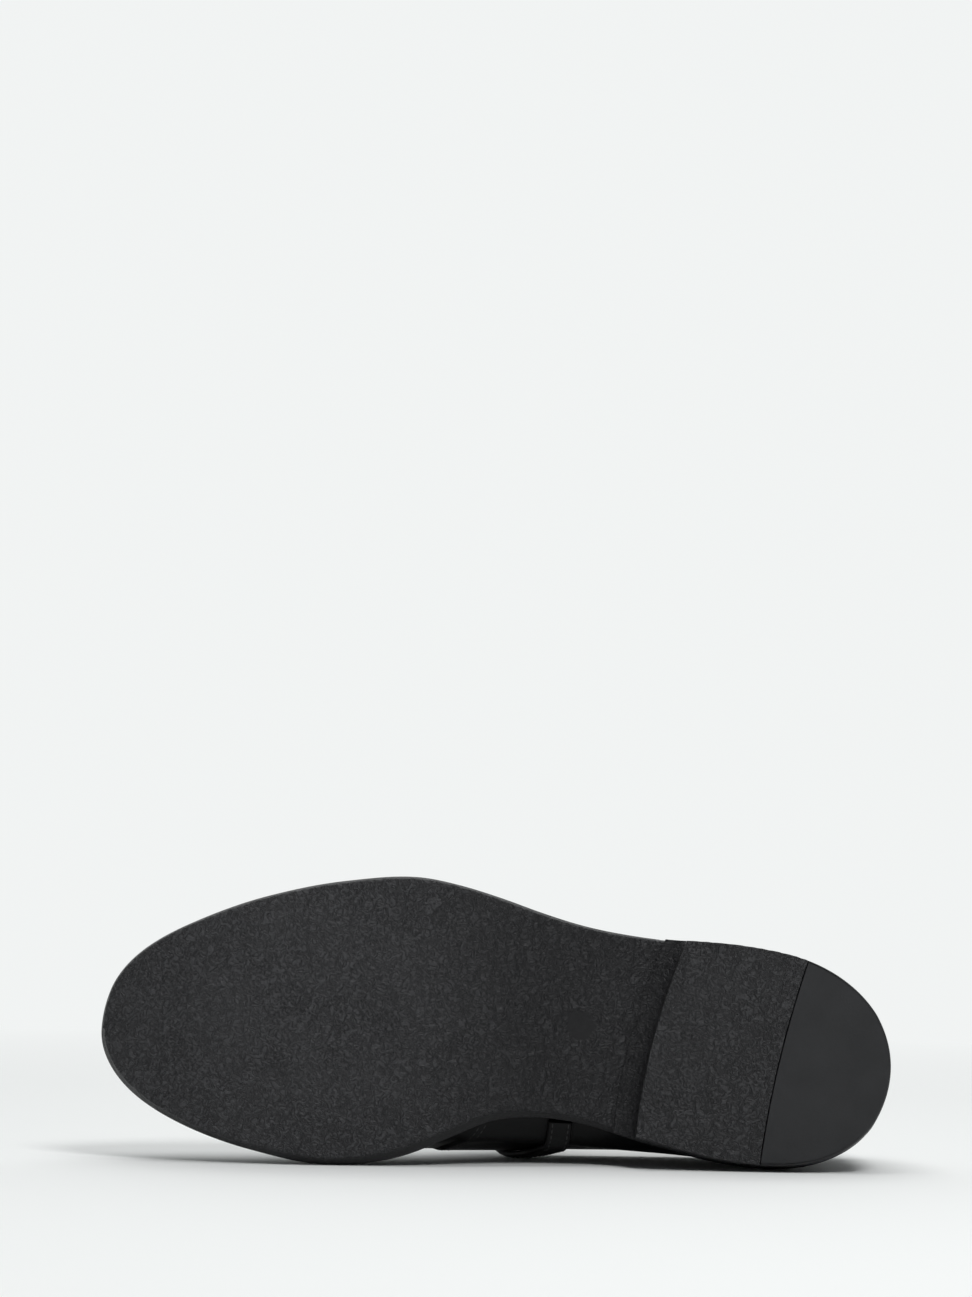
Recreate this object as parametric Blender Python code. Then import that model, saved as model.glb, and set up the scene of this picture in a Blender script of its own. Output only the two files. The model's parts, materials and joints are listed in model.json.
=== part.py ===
"""Monk strap loafer for the left foot, lying on its inner side with the sole towards -Y.

Every piece is drawn as the shoe stands: x runs forward from the back of the heel, y to the
outer side and z up from the ground. One empty carries them all and lays the shoe down.
"""
import math

import bmesh
import bpy
import numpy as np
from mathutils import Matrix, Vector

MM = 0.001

# Sole
SOLE_LENGTH = 298 * MM
BALL_WIDTH = 109.5 * MM
WAIST_WIDTH = 75 * MM
HEEL_WIDTH = 81.5 * MM
SOLE_THICKNESS = 6.5 * MM
SEAT_THICKNESS = 5 * MM
TOE_SPRING = 10 * MM
TREAD_BEVEL = 0.9 * MM
OUTER_FLARE = 0.8 * MM
INNER_FLARE = 2.6 * MM

# Heel
HEEL_HEIGHT = 12.5 * MM
TIP_THICKNESS = 5 * MM
HEEL_TAPER = 0.7 * MM
BREAST_HOLLOW = 8 * MM
BREAST_LIP = 1 * MM
BREAST_OUTER = 79 * MM
BREAST_INNER = 95 * MM
BREAST_BOW = 3 * MM
TIP_OUTER = 33 * MM
TIP_INNER = 48 * MM
TIP_BOW = 2 * MM

# Upper
WALL = 2 * MM
FEATHER_INSET = 2.6 * MM
TONGUE_HEIGHT = 80 * MM
BACK_HEIGHT = 62 * MM
OUTER_SIDE_HEIGHT = 48 * MM
INNER_SIDE_HEIGHT = 50 * MM

# Insole
INSOLE_THICKNESS = 3 * MM
INSOLE_CLEARANCE = 1.2 * MM

# Strap, its tab and its buckle
STRAP_WIDTH = 9 * MM
STRAP_THICKNESS = 2.4 * MM
STRAP_FOOT = 123 * MM
STRAP_CROSSING = 160 * MM
FOOT_CLEARANCE = 2.5 * MM
TAB_THICKNESS = 1.4 * MM
BUCKLE_WIRE = 2 * MM
BUCKLE_SIDE_ROOM = 0.8 * MM
BUCKLE_CORNER = 3 * MM
BUCKLE_DEPTH = 15 * MM
BUCKLE_PLACE = 34 * MM
PRONG_DIAMETER = 1.4 * MM
PRONG_OVERHANG = 1 * MM
TAIL_DROP = 12 * MM
TAIL_LENGTH = 29 * MM
KEEPER_PLACE = 18 * MM
KEEPER_WIDTH = 6 * MM
KEEPER_THICKNESS = 1.4 * MM
KEEPER_ROOM = 0.5 * MM

GAP = 0.3 * MM

# The two bars of the buckle: length along the strap from the crossing, and lift off the upper
FRONT_BAR = BUCKLE_PLACE
HEEL_BAR = BUCKLE_PLACE + BUCKLE_DEPTH
CURL_RADIUS = BUCKLE_WIRE / 2 + GAP + TAB_THICKNESS / 2
FRONT_BAR_LIFT = STRAP_THICKNESS + GAP + BUCKLE_WIRE / 2
HEEL_BAR_LIFT = TAB_THICKNESS / 2 + CURL_RADIUS

# Sampling
AROUND = 72
UP = 14
STRAP_SAMPLES = 57

# Half-widths of the sole along its length, each as a share of the width that it follows
OUTLINE = (
    # station, width followed, outer half, inner half
    (0.02, HEEL_WIDTH, 0.250, 0.262),
    (0.10, HEEL_WIDTH, 0.476, 0.454),
    (0.20, HEEL_WIDTH, 0.545, 0.464),
    (0.30, WAIST_WIDTH, 0.606, 0.428),
    (0.40, WAIST_WIDTH, 0.655, 0.334),
    (0.45, WAIST_WIDTH, 0.703, 0.325),
    (0.50, WAIST_WIDTH, 0.759, 0.357),
    (0.55, BALL_WIDTH, 0.553, 0.307),
    (0.60, BALL_WIDTH, 0.574, 0.372),
    (0.70, BALL_WIDTH, 0.549, 0.425),
    (0.80, BALL_WIDTH, 0.481, 0.389),
    (0.90, BALL_WIDTH, 0.368, 0.302),
    (0.97, BALL_WIDTH, 0.232, 0.177),
    (0.99, BALL_WIDTH, 0.146, 0.103),
)

# How far the tread lies inside the sole's edge, as shares of the two flares
FLARES = (
    # station, outer share, inner share
    (0.00, 0.6, 0.5),
    (0.25, 0.6, 0.4),
    (0.42, 1.0, 0.6),
    (0.58, 1.0, 1.0),
    (0.72, 1.0, 0.7),
    (1.00, 0.8, 0.5),
)

# Underside of the sole: shares of the heel's height, then of the toe spring
UNDERSIDE = (
    # station, share of the heel height, share of the toe spring
    (0.00, 1.00, 0.00),
    (0.34, 1.00, 0.00),
    (0.42, 0.78, 0.00),
    (0.52, 0.24, 0.00),
    (0.60, 0.00, 0.00),
    (0.74, 0.00, 0.00),
    (0.82, 0.00, 0.13),
    (0.91, 0.00, 0.48),
    (1.00, 0.00, 1.00),
)

# Level slices of the last above the sole. The ends are shares of the sole's length, and the
# half-widths stand at five places along each slice, as shares of heel, waist and ball width.
SLICES = (
    # height share, back, front, outer halves at .1 .3 .5 .7 .9, inner halves at the same
    (0.12, 0.005, 0.989, (0.455, 0.525, 0.712, 0.524, 0.354), (0.426, 0.410, 0.432, 0.396, 0.286)),
    (0.26, 0.003, 0.955, (0.437, 0.507, 0.652, 0.488, 0.330), (0.406, 0.420, 0.453, 0.368, 0.262)),
    (0.42, 0.008, 0.835, (0.400, 0.464, 0.545, 0.395, 0.268), (0.368, 0.402, 0.460, 0.338, 0.222)),
    (0.57, 0.017, 0.690, (0.350, 0.411, 0.480, 0.336, 0.236), (0.338, 0.384, 0.437, 0.316, 0.210)),
    (0.71, 0.027, 0.605, (0.310, 0.370, 0.433, 0.290, 0.192), (0.304, 0.356, 0.408, 0.280, 0.180)),
    (0.86, 0.034, 0.520, (0.286, 0.335, 0.390, 0.246, 0.157), (0.280, 0.325, 0.375, 0.240, 0.152)),
    (1.00, 0.040, 0.440, (0.265, 0.300, 0.345, 0.210, 0.135), (0.262, 0.295, 0.335, 0.206, 0.131)),
)
PLACES = (0.1, 0.3, 0.5, 0.7, 0.9)
PLACE_WIDTHS = (HEEL_WIDTH, HEEL_WIDTH, WAIST_WIDTH, BALL_WIDTH, BALL_WIDTH)

# Top line of the upper, from the back of the heel to the tongue's tip
TOP_LINE = (
    # place along the slice, outer and inner height, share of the way up to the tongue's tip
    (0.00, BACK_HEIGHT, BACK_HEIGHT, 0.00),
    (0.06, BACK_HEIGHT, BACK_HEIGHT, -0.07),
    (0.30, OUTER_SIDE_HEIGHT, INNER_SIDE_HEIGHT, 0.00),
    (0.50, OUTER_SIDE_HEIGHT, INNER_SIDE_HEIGHT, 0.03),
    (0.64, OUTER_SIDE_HEIGHT, INNER_SIDE_HEIGHT, 0.08),
    (0.75, OUTER_SIDE_HEIGHT, INNER_SIDE_HEIGHT, 0.27),
    (0.84, OUTER_SIDE_HEIGHT, INNER_SIDE_HEIGHT, 0.54),
    (0.91, OUTER_SIDE_HEIGHT, INNER_SIDE_HEIGHT, 0.76),
    (0.96, OUTER_SIDE_HEIGHT, INNER_SIDE_HEIGHT, 0.90),
    (1.00, OUTER_SIDE_HEIGHT, INNER_SIDE_HEIGHT, 1.00),
)

# Materials: colour, roughness, metallic
RUBBER = ("sole_rubber", (0.030, 0.030, 0.032), 0.75, 0.0)
TIP_RUBBER = ("tip_rubber", (0.035, 0.036, 0.038), 0.55, 0.0)
LEATHER = ("black_leather", (0.006, 0.006, 0.007), 0.35, 0.0)
METAL = ("buckle_metal", (0.55, 0.55, 0.57), 0.25, 1.0)
LINING = ("sock_leather", (0.18, 0.13, 0.09), 0.6, 0.0)

# Weight of each material by volume, kg per cubic metre
DENSITY = {"sole_rubber": 1050, "tip_rubber": 1200, "black_leather": 950, "sock_leather": 500,
           "buckle_metal": 7800}


def through(knots, values, at, level_ends=False):
    """A smooth curve through values at the knots, constant past both ends."""
    knots = np.asarray(knots, float)
    values = np.asarray(values, float)
    slopes = np.gradient(values, knots)
    if level_ends:
        slopes[0] = slopes[-1] = 0
    at = np.clip(at, knots[0], knots[-1])
    left = np.clip(np.searchsorted(knots, at) - 1, 0, len(knots) - 2)
    span = knots[left + 1] - knots[left]
    t = (at - knots[left]) / span
    rise = 3 * t**2 - 2 * t**3
    return ((1 - rise) * values[left] + rise * values[left + 1]
            + (t**3 - 2 * t**2 + t) * span * slopes[left]
            + (t**3 - t**2) * span * slopes[left + 1])


def turn_of(share):
    """The angle round a half circle at a share of its length."""
    return np.arccos(1 - 2 * np.clip(share, 0, 1))


def column(rows, index):
    return np.array([row[index] for row in rows], float)


def outline_fullness(share, side):
    """Half-width of the sole over that of a half circle, so that both ends are round."""
    stations = column(OUTLINE, 0)
    halves = column(OUTLINE, 1) * column(OUTLINE, 2 if side > 0 else 3)
    return through(turn_of(stations), halves / np.sin(turn_of(stations)), turn_of(share))


def half_width(share, side):
    return outline_fullness(share, side) * np.sin(turn_of(share))


def underside(x):
    """Height of the sole's tread over the ground at a distance from the heel."""
    share = np.asarray(x) / SOLE_LENGTH
    stations = column(UNDERSIDE, 0)
    heel = through(stations, column(UNDERSIDE, 1), share)
    toe = through(stations, column(UNDERSIDE, 2), share)
    flat = (share >= UNDERSIDE[4][0]) & (share <= UNDERSIDE[5][0])
    return np.where(flat, 0, (HEEL_HEIGHT + GAP) * heel + TOE_SPRING * toe)


def sole_top(x):
    """Height of the sole's upper face, on which the upper is lasted."""
    share = np.asarray(x) / SOLE_LENGTH
    seat = through((0.0, 0.30, 0.55, 1.0), (1, 1, 0, 0), share)
    return underside(x) + SEAT_THICKNESS * seat + SOLE_THICKNESS * (1 - seat)


def moved_in(loop, distance):
    """A clockwise loop of (x, y) moved inwards along its normals."""
    run = np.roll(loop, -1, axis=0) - np.roll(loop, 1, axis=0)
    run /= np.linalg.norm(run, axis=1)[:, None]
    outward = np.stack([-run[:, 1], run[:, 0]], axis=1)
    return loop - outward * np.reshape(distance, (-1, 1))


def sole_loop(flare_share, bevel):
    """The sole's outline, clockwise from the back of the heel along the outer side."""
    turn = 2 * np.pi * np.arange(AROUND) / AROUND
    share = (1 - np.cos(turn)) / 2
    outer = turn <= np.pi
    half = np.where(outer, half_width(share, 1), -half_width(share, -1))
    loop = np.stack([SOLE_LENGTH * share, half], axis=1)
    stations = column(FLARES, 0)
    flare = np.where(outer, OUTER_FLARE * through(stations, column(FLARES, 1), share),
                     INNER_FLARE * through(stations, column(FLARES, 2), share))
    return moved_in(loop, flare * flare_share + bevel)


def skin(name, rings, material, close_ends):
    """A closed mesh over rings of equal length; close_ends joins the first and last ring's faces."""
    mesh = bmesh.new()
    rows = [[mesh.verts.new(point) for point in ring] for ring in rings]
    for low, high in zip(rows, rows[1:]):
        for i in range(len(low)):
            j = (i + 1) % len(low)
            mesh.faces.new((low[i], high[i], high[j], low[j]))
    close_ends(mesh, rows[0], rows[-1])
    return finish(name, mesh, material)


def ladder_ends(mesh, first, last):
    """Close both ends with rungs from the outer side to the inner side."""
    for row, flip in ((first, False), (last, True)):
        half = len(row) // 2
        for i in range(half):
            ring = [row[i], row[i + 1], row[(-i - 1) % len(row)], row[-i % len(row)]]
            corners = list(dict.fromkeys(ring))
            mesh.faces.new(corners[::-1] if flip else corners)


def flat_ends(mesh, first, last):
    """Close both ends with one flat face each."""
    mesh.faces.new(first)
    mesh.faces.new(last[::-1])


def no_ends(mesh, first, last):
    """Join the last ring to the first, as on a ring-shaped wall."""
    for i in range(len(first)):
        j = (i + 1) % len(first)
        mesh.faces.new((last[i], first[i], first[j], last[j]))


def finish(name, mesh, look):
    """An object from a bmesh, with outward faces, smooth shading and its material."""
    bmesh.ops.recalc_face_normals(mesh, faces=mesh.faces)
    data = bpy.data.meshes.new(name)
    mesh.to_mesh(data)
    mesh.free()
    data.shade_smooth()
    data.set_sharp_from_angle(angle=math.radians(40))
    data.materials.append(material_of(*look))
    item = bpy.data.objects.new(name, data)
    bpy.context.scene.collection.objects.link(item)
    return item


def material_of(name, colour, roughness, metallic):
    found = bpy.data.materials.get(name)
    if found:
        return found
    made = bpy.data.materials.new(name)
    made.use_nodes = True
    shader = made.node_tree.nodes["Principled BSDF"]
    shader.inputs["Base Color"].default_value = (*colour, 1)
    shader.inputs["Roughness"].default_value = roughness
    shader.inputs["Metallic"].default_value = metallic
    return made


def make_outsole():
    """Toe-to-heel sole, flat under the ball, arched at the waist and sprung at the toe."""
    levels = (
        # share of the thickness, share of the flare, bevel
        (0.00, 1.0, TREAD_BEVEL),
        (0.14, 1.0, 0.0),
        (0.60, 0.0, 0.0),
        (0.90, 0.0, 0.0),
        (1.00, 0.0, TREAD_BEVEL / 2),
    )
    rings = []
    for height, flare, bevel in levels:
        loop = sole_loop(flare, bevel)
        low = underside(loop[:, 0])
        high = sole_top(loop[:, 0])
        rings.append(np.column_stack([loop, low + height * (high - low)]))
    return skin("outsole", rings, RUBBER, ladder_ends)


def heel_loop(rear, front, inset):
    """Outline of a heel plate between two lines across the heel, each (outer x, inner x, bow)."""
    side = np.arange(17) / 16
    if rear is None:
        rear_outer = rear_inner = 0
        side = 1 - np.cos(side * np.pi / 2)
    else:
        rear_outer, rear_inner, rear_bow = rear
    front_outer, front_inner, front_bow = front
    across = np.arange(1, 12) / 12

    def edge(x, sign):
        return np.stack([x, sign * half_width(x / SOLE_LENGTH, sign)], axis=1)

    def line(outer, inner, bow):
        start = edge(np.array([outer]), 1)[0]
        stop = edge(np.array([inner]), -1)[0]
        points = start + across[:, None] * (stop - start)
        points[:, 0] += 4 * bow * across * (1 - across)
        return points

    parts = [edge(rear_outer + side * (front_outer - rear_outer), 1),
             line(front_outer, front_inner, front_bow),
             edge(rear_inner + side[::-1] * (front_inner - rear_inner), -1)]
    if rear is None:
        parts[2] = parts[2][:-1]
    else:
        parts.append(line(rear_outer, rear_inner, rear_bow)[::-1])
    return moved_in(np.concatenate(parts), inset)


def heel_plate(name, rear, front, levels, material):
    """A flat-faced heel layer; levels are (height, forward shift of the front line, inset)."""
    rings = []
    for height, shift, inset in levels:
        shifted = (front[0] + shift, front[1] + shift, front[2])
        loop = heel_loop(rear, shifted, inset)
        rings.append(np.column_stack([loop, np.full(len(loop), height)]))
    return skin(name, rings, material, flat_ends)


def make_heel():
    """Heel block with its hollowed breast, and the two parts of the top piece under it."""
    breast = (BREAST_OUTER, BREAST_INNER, BREAST_BOW)
    tip_line = (TIP_OUTER, TIP_INNER, TIP_BOW)
    lift_rear = (TIP_OUTER + GAP, TIP_INNER + GAP, TIP_BOW)
    base_bottom = TIP_THICKNESS + GAP
    rise = HEEL_HEIGHT - BREAST_LIP - base_bottom
    hollow = [(base_bottom + rise * math.sin(turn), BREAST_HOLLOW * (1 - math.cos(turn)),
               HEEL_TAPER * (1 - math.sin(turn)) / 2)
              for turn in np.linspace(0, math.pi / 2, 6)]
    hollow.append((HEEL_HEIGHT, BREAST_HOLLOW, 0))
    plate = ((0, 0, HEEL_TAPER + TREAD_BEVEL), (TREAD_BEVEL, 0, HEEL_TAPER),
             (TIP_THICKNESS, 0, HEEL_TAPER / 2))
    heel_plate("heel_base", None, breast, hollow, RUBBER)
    heel_plate("heel_tip", None, tip_line, plate, TIP_RUBBER)
    heel_plate("heel_lift", lift_rear, breast, plate, RUBBER)


def slice_table(place, side):
    """Fullness of every slice of the last at one place, from the feather line up."""
    turn = turn_of(place)
    places = turn_of(np.array(PLACES))
    heights = [0.0]
    fullness = [float(outline_fullness(place, side)) - FEATHER_INSET]
    for row in SLICES:
        halves = np.array(row[3 if side > 0 else 4]) * PLACE_WIDTHS
        heights.append(row[0] * TONGUE_HEIGHT)
        fullness.append(float(through(places, halves / np.sin(places), turn)))
    return heights, fullness


def slice_ends(height):
    """Back and front of the last's slice at a height over the sole."""
    heights = np.append(0.0, column(SLICES, 0) * TONGUE_HEIGHT)
    back = np.append(FEATHER_INSET, column(SLICES, 1) * SOLE_LENGTH)
    front = np.append(SOLE_LENGTH - FEATHER_INSET, column(SLICES, 2) * SOLE_LENGTH)
    return through(heights, back, height), through(heights, front, height)


def last_point(place, side, height):
    """A point on the last's surface."""
    heights, fullness = slice_table(place, side)
    back, front = slice_ends(height)
    x = back + place * (front - back)
    y = side * through(heights, fullness, height) * math.sin(turn_of(place))
    return np.array([x, y, float(sole_top(x)) + GAP + height])


def top_line(place, side):
    """Height of the upper's edge over the sole."""
    rows = np.array([row[1 if side > 0 else 2] for row in TOP_LINE])
    shares = column(TOP_LINE, 3)
    heights = rows + shares * (TONGUE_HEIGHT - rows)
    return float(through(turn_of(column(TOP_LINE, 0)), heights, turn_of(place), level_ends=True))


def upper_grid():
    """Outer face of the upper: rows from the feather line to the top line."""
    grid = np.zeros((UP + 1, AROUND, 3))
    for i in range(AROUND):
        turn = 2 * math.pi * i / AROUND
        place = (1 - math.cos(turn)) / 2
        side = 1 if turn <= math.pi else -1
        top = top_line(place, side)
        for j in range(UP + 1):
            grid[j, i] = last_point(place, side, top * j / UP)
    return grid


def grid_normals(grid):
    """Outward normals of a grid whose columns run round clockwise and rows run up."""
    round_ = np.roll(grid, -1, axis=1) - np.roll(grid, 1, axis=1)
    up = np.gradient(grid, axis=0)
    normal = np.cross(up, round_)
    return normal / np.linalg.norm(normal, axis=2)[:, :, None]


def inward(grid, distance):
    """The grid moved inwards, its lowest row kept level."""
    normal = grid_normals(grid)
    normal[0, :, 2] = 0
    normal[0] /= np.linalg.norm(normal[0], axis=1)[:, None]
    return grid - normal * distance


def make_upper():
    """Lasted leather shell, open at the collar and underneath."""
    outer = upper_grid()
    inner = inward(outer, WALL)
    lip = (outer[-1] + inner[-1]) / 2
    edge_run = outer[-1] - outer[-2]
    lip += edge_run / np.linalg.norm(edge_run, axis=1)[:, None] * WALL * 0.35
    rings = list(outer) + [lip] + list(inner[::-1])
    return skin("upper", rings, LEATHER, no_ends)


def make_insole():
    """Inner sole that closes the upper underneath."""
    rings = []
    for height in (0, INSOLE_THICKNESS):
        turns = 2 * np.pi * np.arange(AROUND) / AROUND
        loop = np.array([last_point((1 - math.cos(turn)) / 2, 1 if turn <= np.pi else -1, height)
                         for turn in turns])
        inside = moved_in(loop[:, :2], WALL + INSOLE_CLEARANCE)
        foot = sole_top(inside[:, 0]) + GAP + height
        rings.append(np.column_stack([inside, foot]))
    return skin("insole", rings, LINING, ladder_ends)


def crossing_height(ahead_of_ridge):
    """The height at which a line that rises along the shoe meets the ridge of the instep."""
    low, high = 0, TONGUE_HEIGHT
    for _ in range(30):
        middle = (low + high) / 2
        low, high = (middle, high) if ahead_of_ridge(middle) > 0 else (low, middle)
    return low


def strap_line(offset):
    """Line of the strap over the last, moved along the shoe by an offset."""
    top = crossing_height(lambda height: float(slice_ends(height)[1]) - STRAP_CROSSING)

    def strap_x(height):
        return STRAP_FOOT + (STRAP_CROSSING - STRAP_FOOT) * (height / top)**2 + offset

    own_top = crossing_height(lambda height: float(slice_ends(height)[1]) - strap_x(height))
    points = []
    for turn in np.linspace(-np.pi / 2, np.pi / 2, STRAP_SAMPLES):
        height = own_top * math.cos(turn)
        x = strap_x(height)
        back, front = slice_ends(height)
        place = float(np.clip((x - back) / (front - back), 0, 1))
        points.append(last_point(place, 1 if turn > 0 else -1, height))
    return np.array(points)


class StrapFrame:
    """Local directions along the strap: s along it from the crossing, lift out, across forward."""

    def __init__(self):
        middle = strap_line(0)
        half = STRAP_WIDTH / 2
        sides = [strap_line(half * k) for k in (-1.2, -0.6, 0.6, 1.2)]
        steps = np.linalg.norm(np.diff(middle, axis=0), axis=1)
        length = np.append(0, np.cumsum(steps))
        self.s = length - length[len(length) // 2]
        self.middle = middle
        across = sides[3] - sides[0]
        along = np.gradient(middle, axis=0)
        self.out = unit(np.cross(across, along))
        self.across = unit(np.cross(along, self.out))
        proud = [np.einsum("ij,ij->i", side - middle, self.out) for side in sides]
        self.proud = np.maximum(0, np.max(proud, axis=0))

    def place(self, s, lift, across):
        """The point at a length along the strap, lifted off the upper and moved across."""
        def read(values):
            return np.array([np.interp(s, self.s, values[:, k]) for k in range(3)])

        out = read(self.out)
        rise = lift + GAP + np.interp(s, self.s, self.proud)
        return read(self.middle) + out * rise + read(self.across) * across


def unit(vectors):
    return vectors / np.linalg.norm(vectors, axis=1)[:, None]


def eased(knots, values, at):
    """Level steps between knots, never past the values."""
    i = min(max(int(np.searchsorted(knots, at)) - 1, 0), len(knots) - 2)
    t = min(max((at - knots[i]) / (knots[i + 1] - knots[i]), 0), 1)
    return values[i] + (values[i + 1] - values[i]) * (3 * t**2 - 2 * t**3)


def swept(name, frame, path, section, look):
    """A section of (across, out) points carried along a path of (s, lift)."""
    path = np.array(path)
    run = unit(np.gradient(path, axis=0))
    side = np.stack([-run[:, 1], run[:, 0]], axis=1)
    rings = [[frame.place(*(point + normal * out), across) for across, out in section]
             for point, normal in zip(path, side)]
    return skin(name, rings, look, flat_ends)


def ribbon(name, frame, path, width, thickness, look):
    """A flat band with eased corners along a path of (s, lift of its middle)."""
    half = width / 2
    flat = thickness / 2
    soft = thickness * 0.3
    section = ((-half, -flat + soft), (-half + soft, -flat), (half - soft, -flat), (half, -flat + soft),
               (half, flat - soft), (half - soft, flat), (-half + soft, flat), (-half, flat - soft))
    return swept(name, frame, path, section, look)


def cutter(name, frame, s_from, s_to, lift_to, width):
    """A hidden block along the strap, for a hole or a slot."""
    rings = []
    for s in np.linspace(s_from, s_to, 6):
        corners = ((-1, -GAP), (1, -GAP), (1, lift_to), (-1, lift_to))
        rings.append([frame.place(s, lift, side * width / 2) for side, lift in corners])
    block = skin(name, rings, LEATHER, flat_ends)
    block.hide_render = True
    block.display_type = "WIRE"
    return block


def cut(item, block):
    """Cut a block out of a piece."""
    hole = item.modifiers.new("hole", "BOOLEAN")
    hole.operation = "DIFFERENCE"
    hole.solver = "EXACT"
    hole.object = block


def curl(centre, radius, start, stop):
    """Arc of (s, lift) points round a bar, angles in degrees."""
    turns = np.radians(np.linspace(start, stop, 13))
    return [(centre[0] + radius * math.cos(t), centre[1] + radius * math.sin(t)) for t in turns]


def make_strap(frame):
    """Strap from the inner feather line over the instep, through the buckle and down to its tail."""
    over = HEEL_BAR_LIFT + CURL_RADIUS + TAB_THICKNESS / 2 + GAP
    under_tail = TAB_THICKNESS + GAP
    knots = (FRONT_BAR + BUCKLE_WIRE / 2, HEEL_BAR - CURL_RADIUS, HEEL_BAR + CURL_RADIUS, HEEL_BAR + TAIL_DROP)
    values = (0, over, over, under_tail)
    tail = HEEL_BAR + TAIL_LENGTH
    path = [(s, eased(knots, values, s) + STRAP_THICKNESS / 2)
            for s in np.linspace(frame.s[0] + FOOT_CLEARANCE, tail, STRAP_SAMPLES)]
    strap = ribbon("strap", frame, path, STRAP_WIDTH, STRAP_THICKNESS, LEATHER)
    room = PRONG_DIAMETER + 2 * GAP
    hole = cutter("prong_hole", frame, FRONT_BAR + BUCKLE_WIRE, HEEL_BAR - BUCKLE_WIRE, 3 * over, room)
    cut(strap, hole)
    return [strap, hole]


def make_buckle_tab(frame):
    """Tab from the outer feather line, folded round the buckle's bar and slotted for the prong."""
    middle = TAB_THICKNESS / 2
    foot = frame.s[-1] - FOOT_CLEARANCE
    path = [(s, middle) for s in np.linspace(foot, HEEL_BAR + CURL_RADIUS / 2, 20)]
    path += curl((HEEL_BAR, HEEL_BAR_LIFT), CURL_RADIUS, -90, -320)
    tab = ribbon("buckle_tab", frame, path, STRAP_WIDTH, TAB_THICKNESS, LEATHER)
    reach = CURL_RADIUS + TAB_THICKNESS
    slot = cutter("tab_slot", frame, HEEL_BAR - reach, HEEL_BAR + reach, 4 * CURL_RADIUS,
                  PRONG_DIAMETER + 2 * GAP)
    cut(tab, slot)
    return [tab, slot]


def make_buckle_frame(frame):
    """Metal frame: a round-cornered ring of wire, its far side the bar that the tab holds."""
    front = frame.place(FRONT_BAR, FRONT_BAR_LIFT, 0)
    heel = frame.place(HEEL_BAR, HEEL_BAR_LIFT, 0)
    across = np.array([np.interp(HEEL_BAR, frame.s, frame.across[:, k]) for k in range(3)])
    forward = (front - heel) / np.linalg.norm(front - heel)
    across -= forward * across.dot(forward)
    across /= np.linalg.norm(across)
    out = np.cross(forward, across)
    half_depth = np.linalg.norm(front - heel) / 2
    half_span = STRAP_WIDTH / 2 + BUCKLE_SIDE_ROOM + BUCKLE_WIRE / 2
    centre = (front + heel) / 2
    wire = BUCKLE_WIRE / 2
    rings = []
    corners = ((1, 1, 0), (-1, 1, 90), (-1, -1, 180), (1, -1, 270))
    for along_sign, across_sign, start in corners:
        for turn in np.radians(np.linspace(start, start + 90, 6)):
            ray = forward * math.cos(turn) + across * math.sin(turn)
            knee = centre + forward * along_sign * (half_depth - BUCKLE_CORNER)
            middle = knee + across * across_sign * (half_span - BUCKLE_CORNER) + ray * BUCKLE_CORNER
            rings.append([middle + (ray * math.cos(a) + out * math.sin(a)) * wire
                          for a in np.arange(8) * math.pi / 4])
    return skin("buckle_frame", rings, METAL, no_ends)


def make_buckle_prong(frame):
    """Metal prong, hooked round the bar and resting on the frame's front."""
    hook = BUCKLE_WIRE / 2 + GAP + PRONG_DIAMETER / 2
    path = curl((HEEL_BAR, HEEL_BAR_LIFT), hook, 150, -120)
    rest = FRONT_BAR_LIFT + BUCKLE_WIRE / 2 + GAP + PRONG_DIAMETER / 2
    start = path[-1]
    for share in np.linspace(0.15, 1, 7):
        path.append((start[0] + share * (FRONT_BAR - PRONG_OVERHANG - start[0]),
                     start[1] + (rest - start[1]) * math.sin(share * math.pi / 2)))
    section = [(PRONG_DIAMETER / 2 * math.cos(a), PRONG_DIAMETER / 2 * math.sin(a))
               for a in np.arange(8) * math.pi / 4]
    return swept("buckle_prong", frame, path, section, METAL)


def make_keeper(frame):
    """Leather loop that stands on the upper over the tab and the strap's tail."""
    inner = STRAP_WIDTH / 2 + KEEPER_ROOM
    inner_top = TAB_THICKNESS + GAP + STRAP_THICKNESS + GAP
    outer = inner + KEEPER_THICKNESS
    top = inner_top + KEEPER_THICKNESS
    soft = KEEPER_THICKNESS / 2
    outline = ((-outer, 0), (-outer, top - soft), (-outer + soft, top), (outer - soft, top),
               (outer, top - soft), (outer, 0), (inner, 0), (inner, inner_top), (-inner, inner_top),
               (-inner, 0))
    rings = []
    for s in np.linspace(-0.5, 0.5, 3) * KEEPER_WIDTH + HEEL_BAR + KEEPER_PLACE:
        rings.append([frame.place(s, lift, across) for across, lift in outline])
    return skin("keeper", rings, LEATHER, flat_ends)


def volume_and_middle(item):
    """Volume and centre of volume of a closed mesh."""
    item.data.calc_loop_triangles()
    points = np.array([vert.co for vert in item.data.vertices])
    corners = np.array([tri.vertices for tri in item.data.loop_triangles])
    a, b, c = (points[corners[:, k]] for k in range(3))
    parts = np.einsum("ij,ij->i", a, np.cross(b, c)) / 6
    return parts.sum(), ((a + b + c) / 4 * parts[:, None]).sum(axis=0) / parts.sum()


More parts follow.
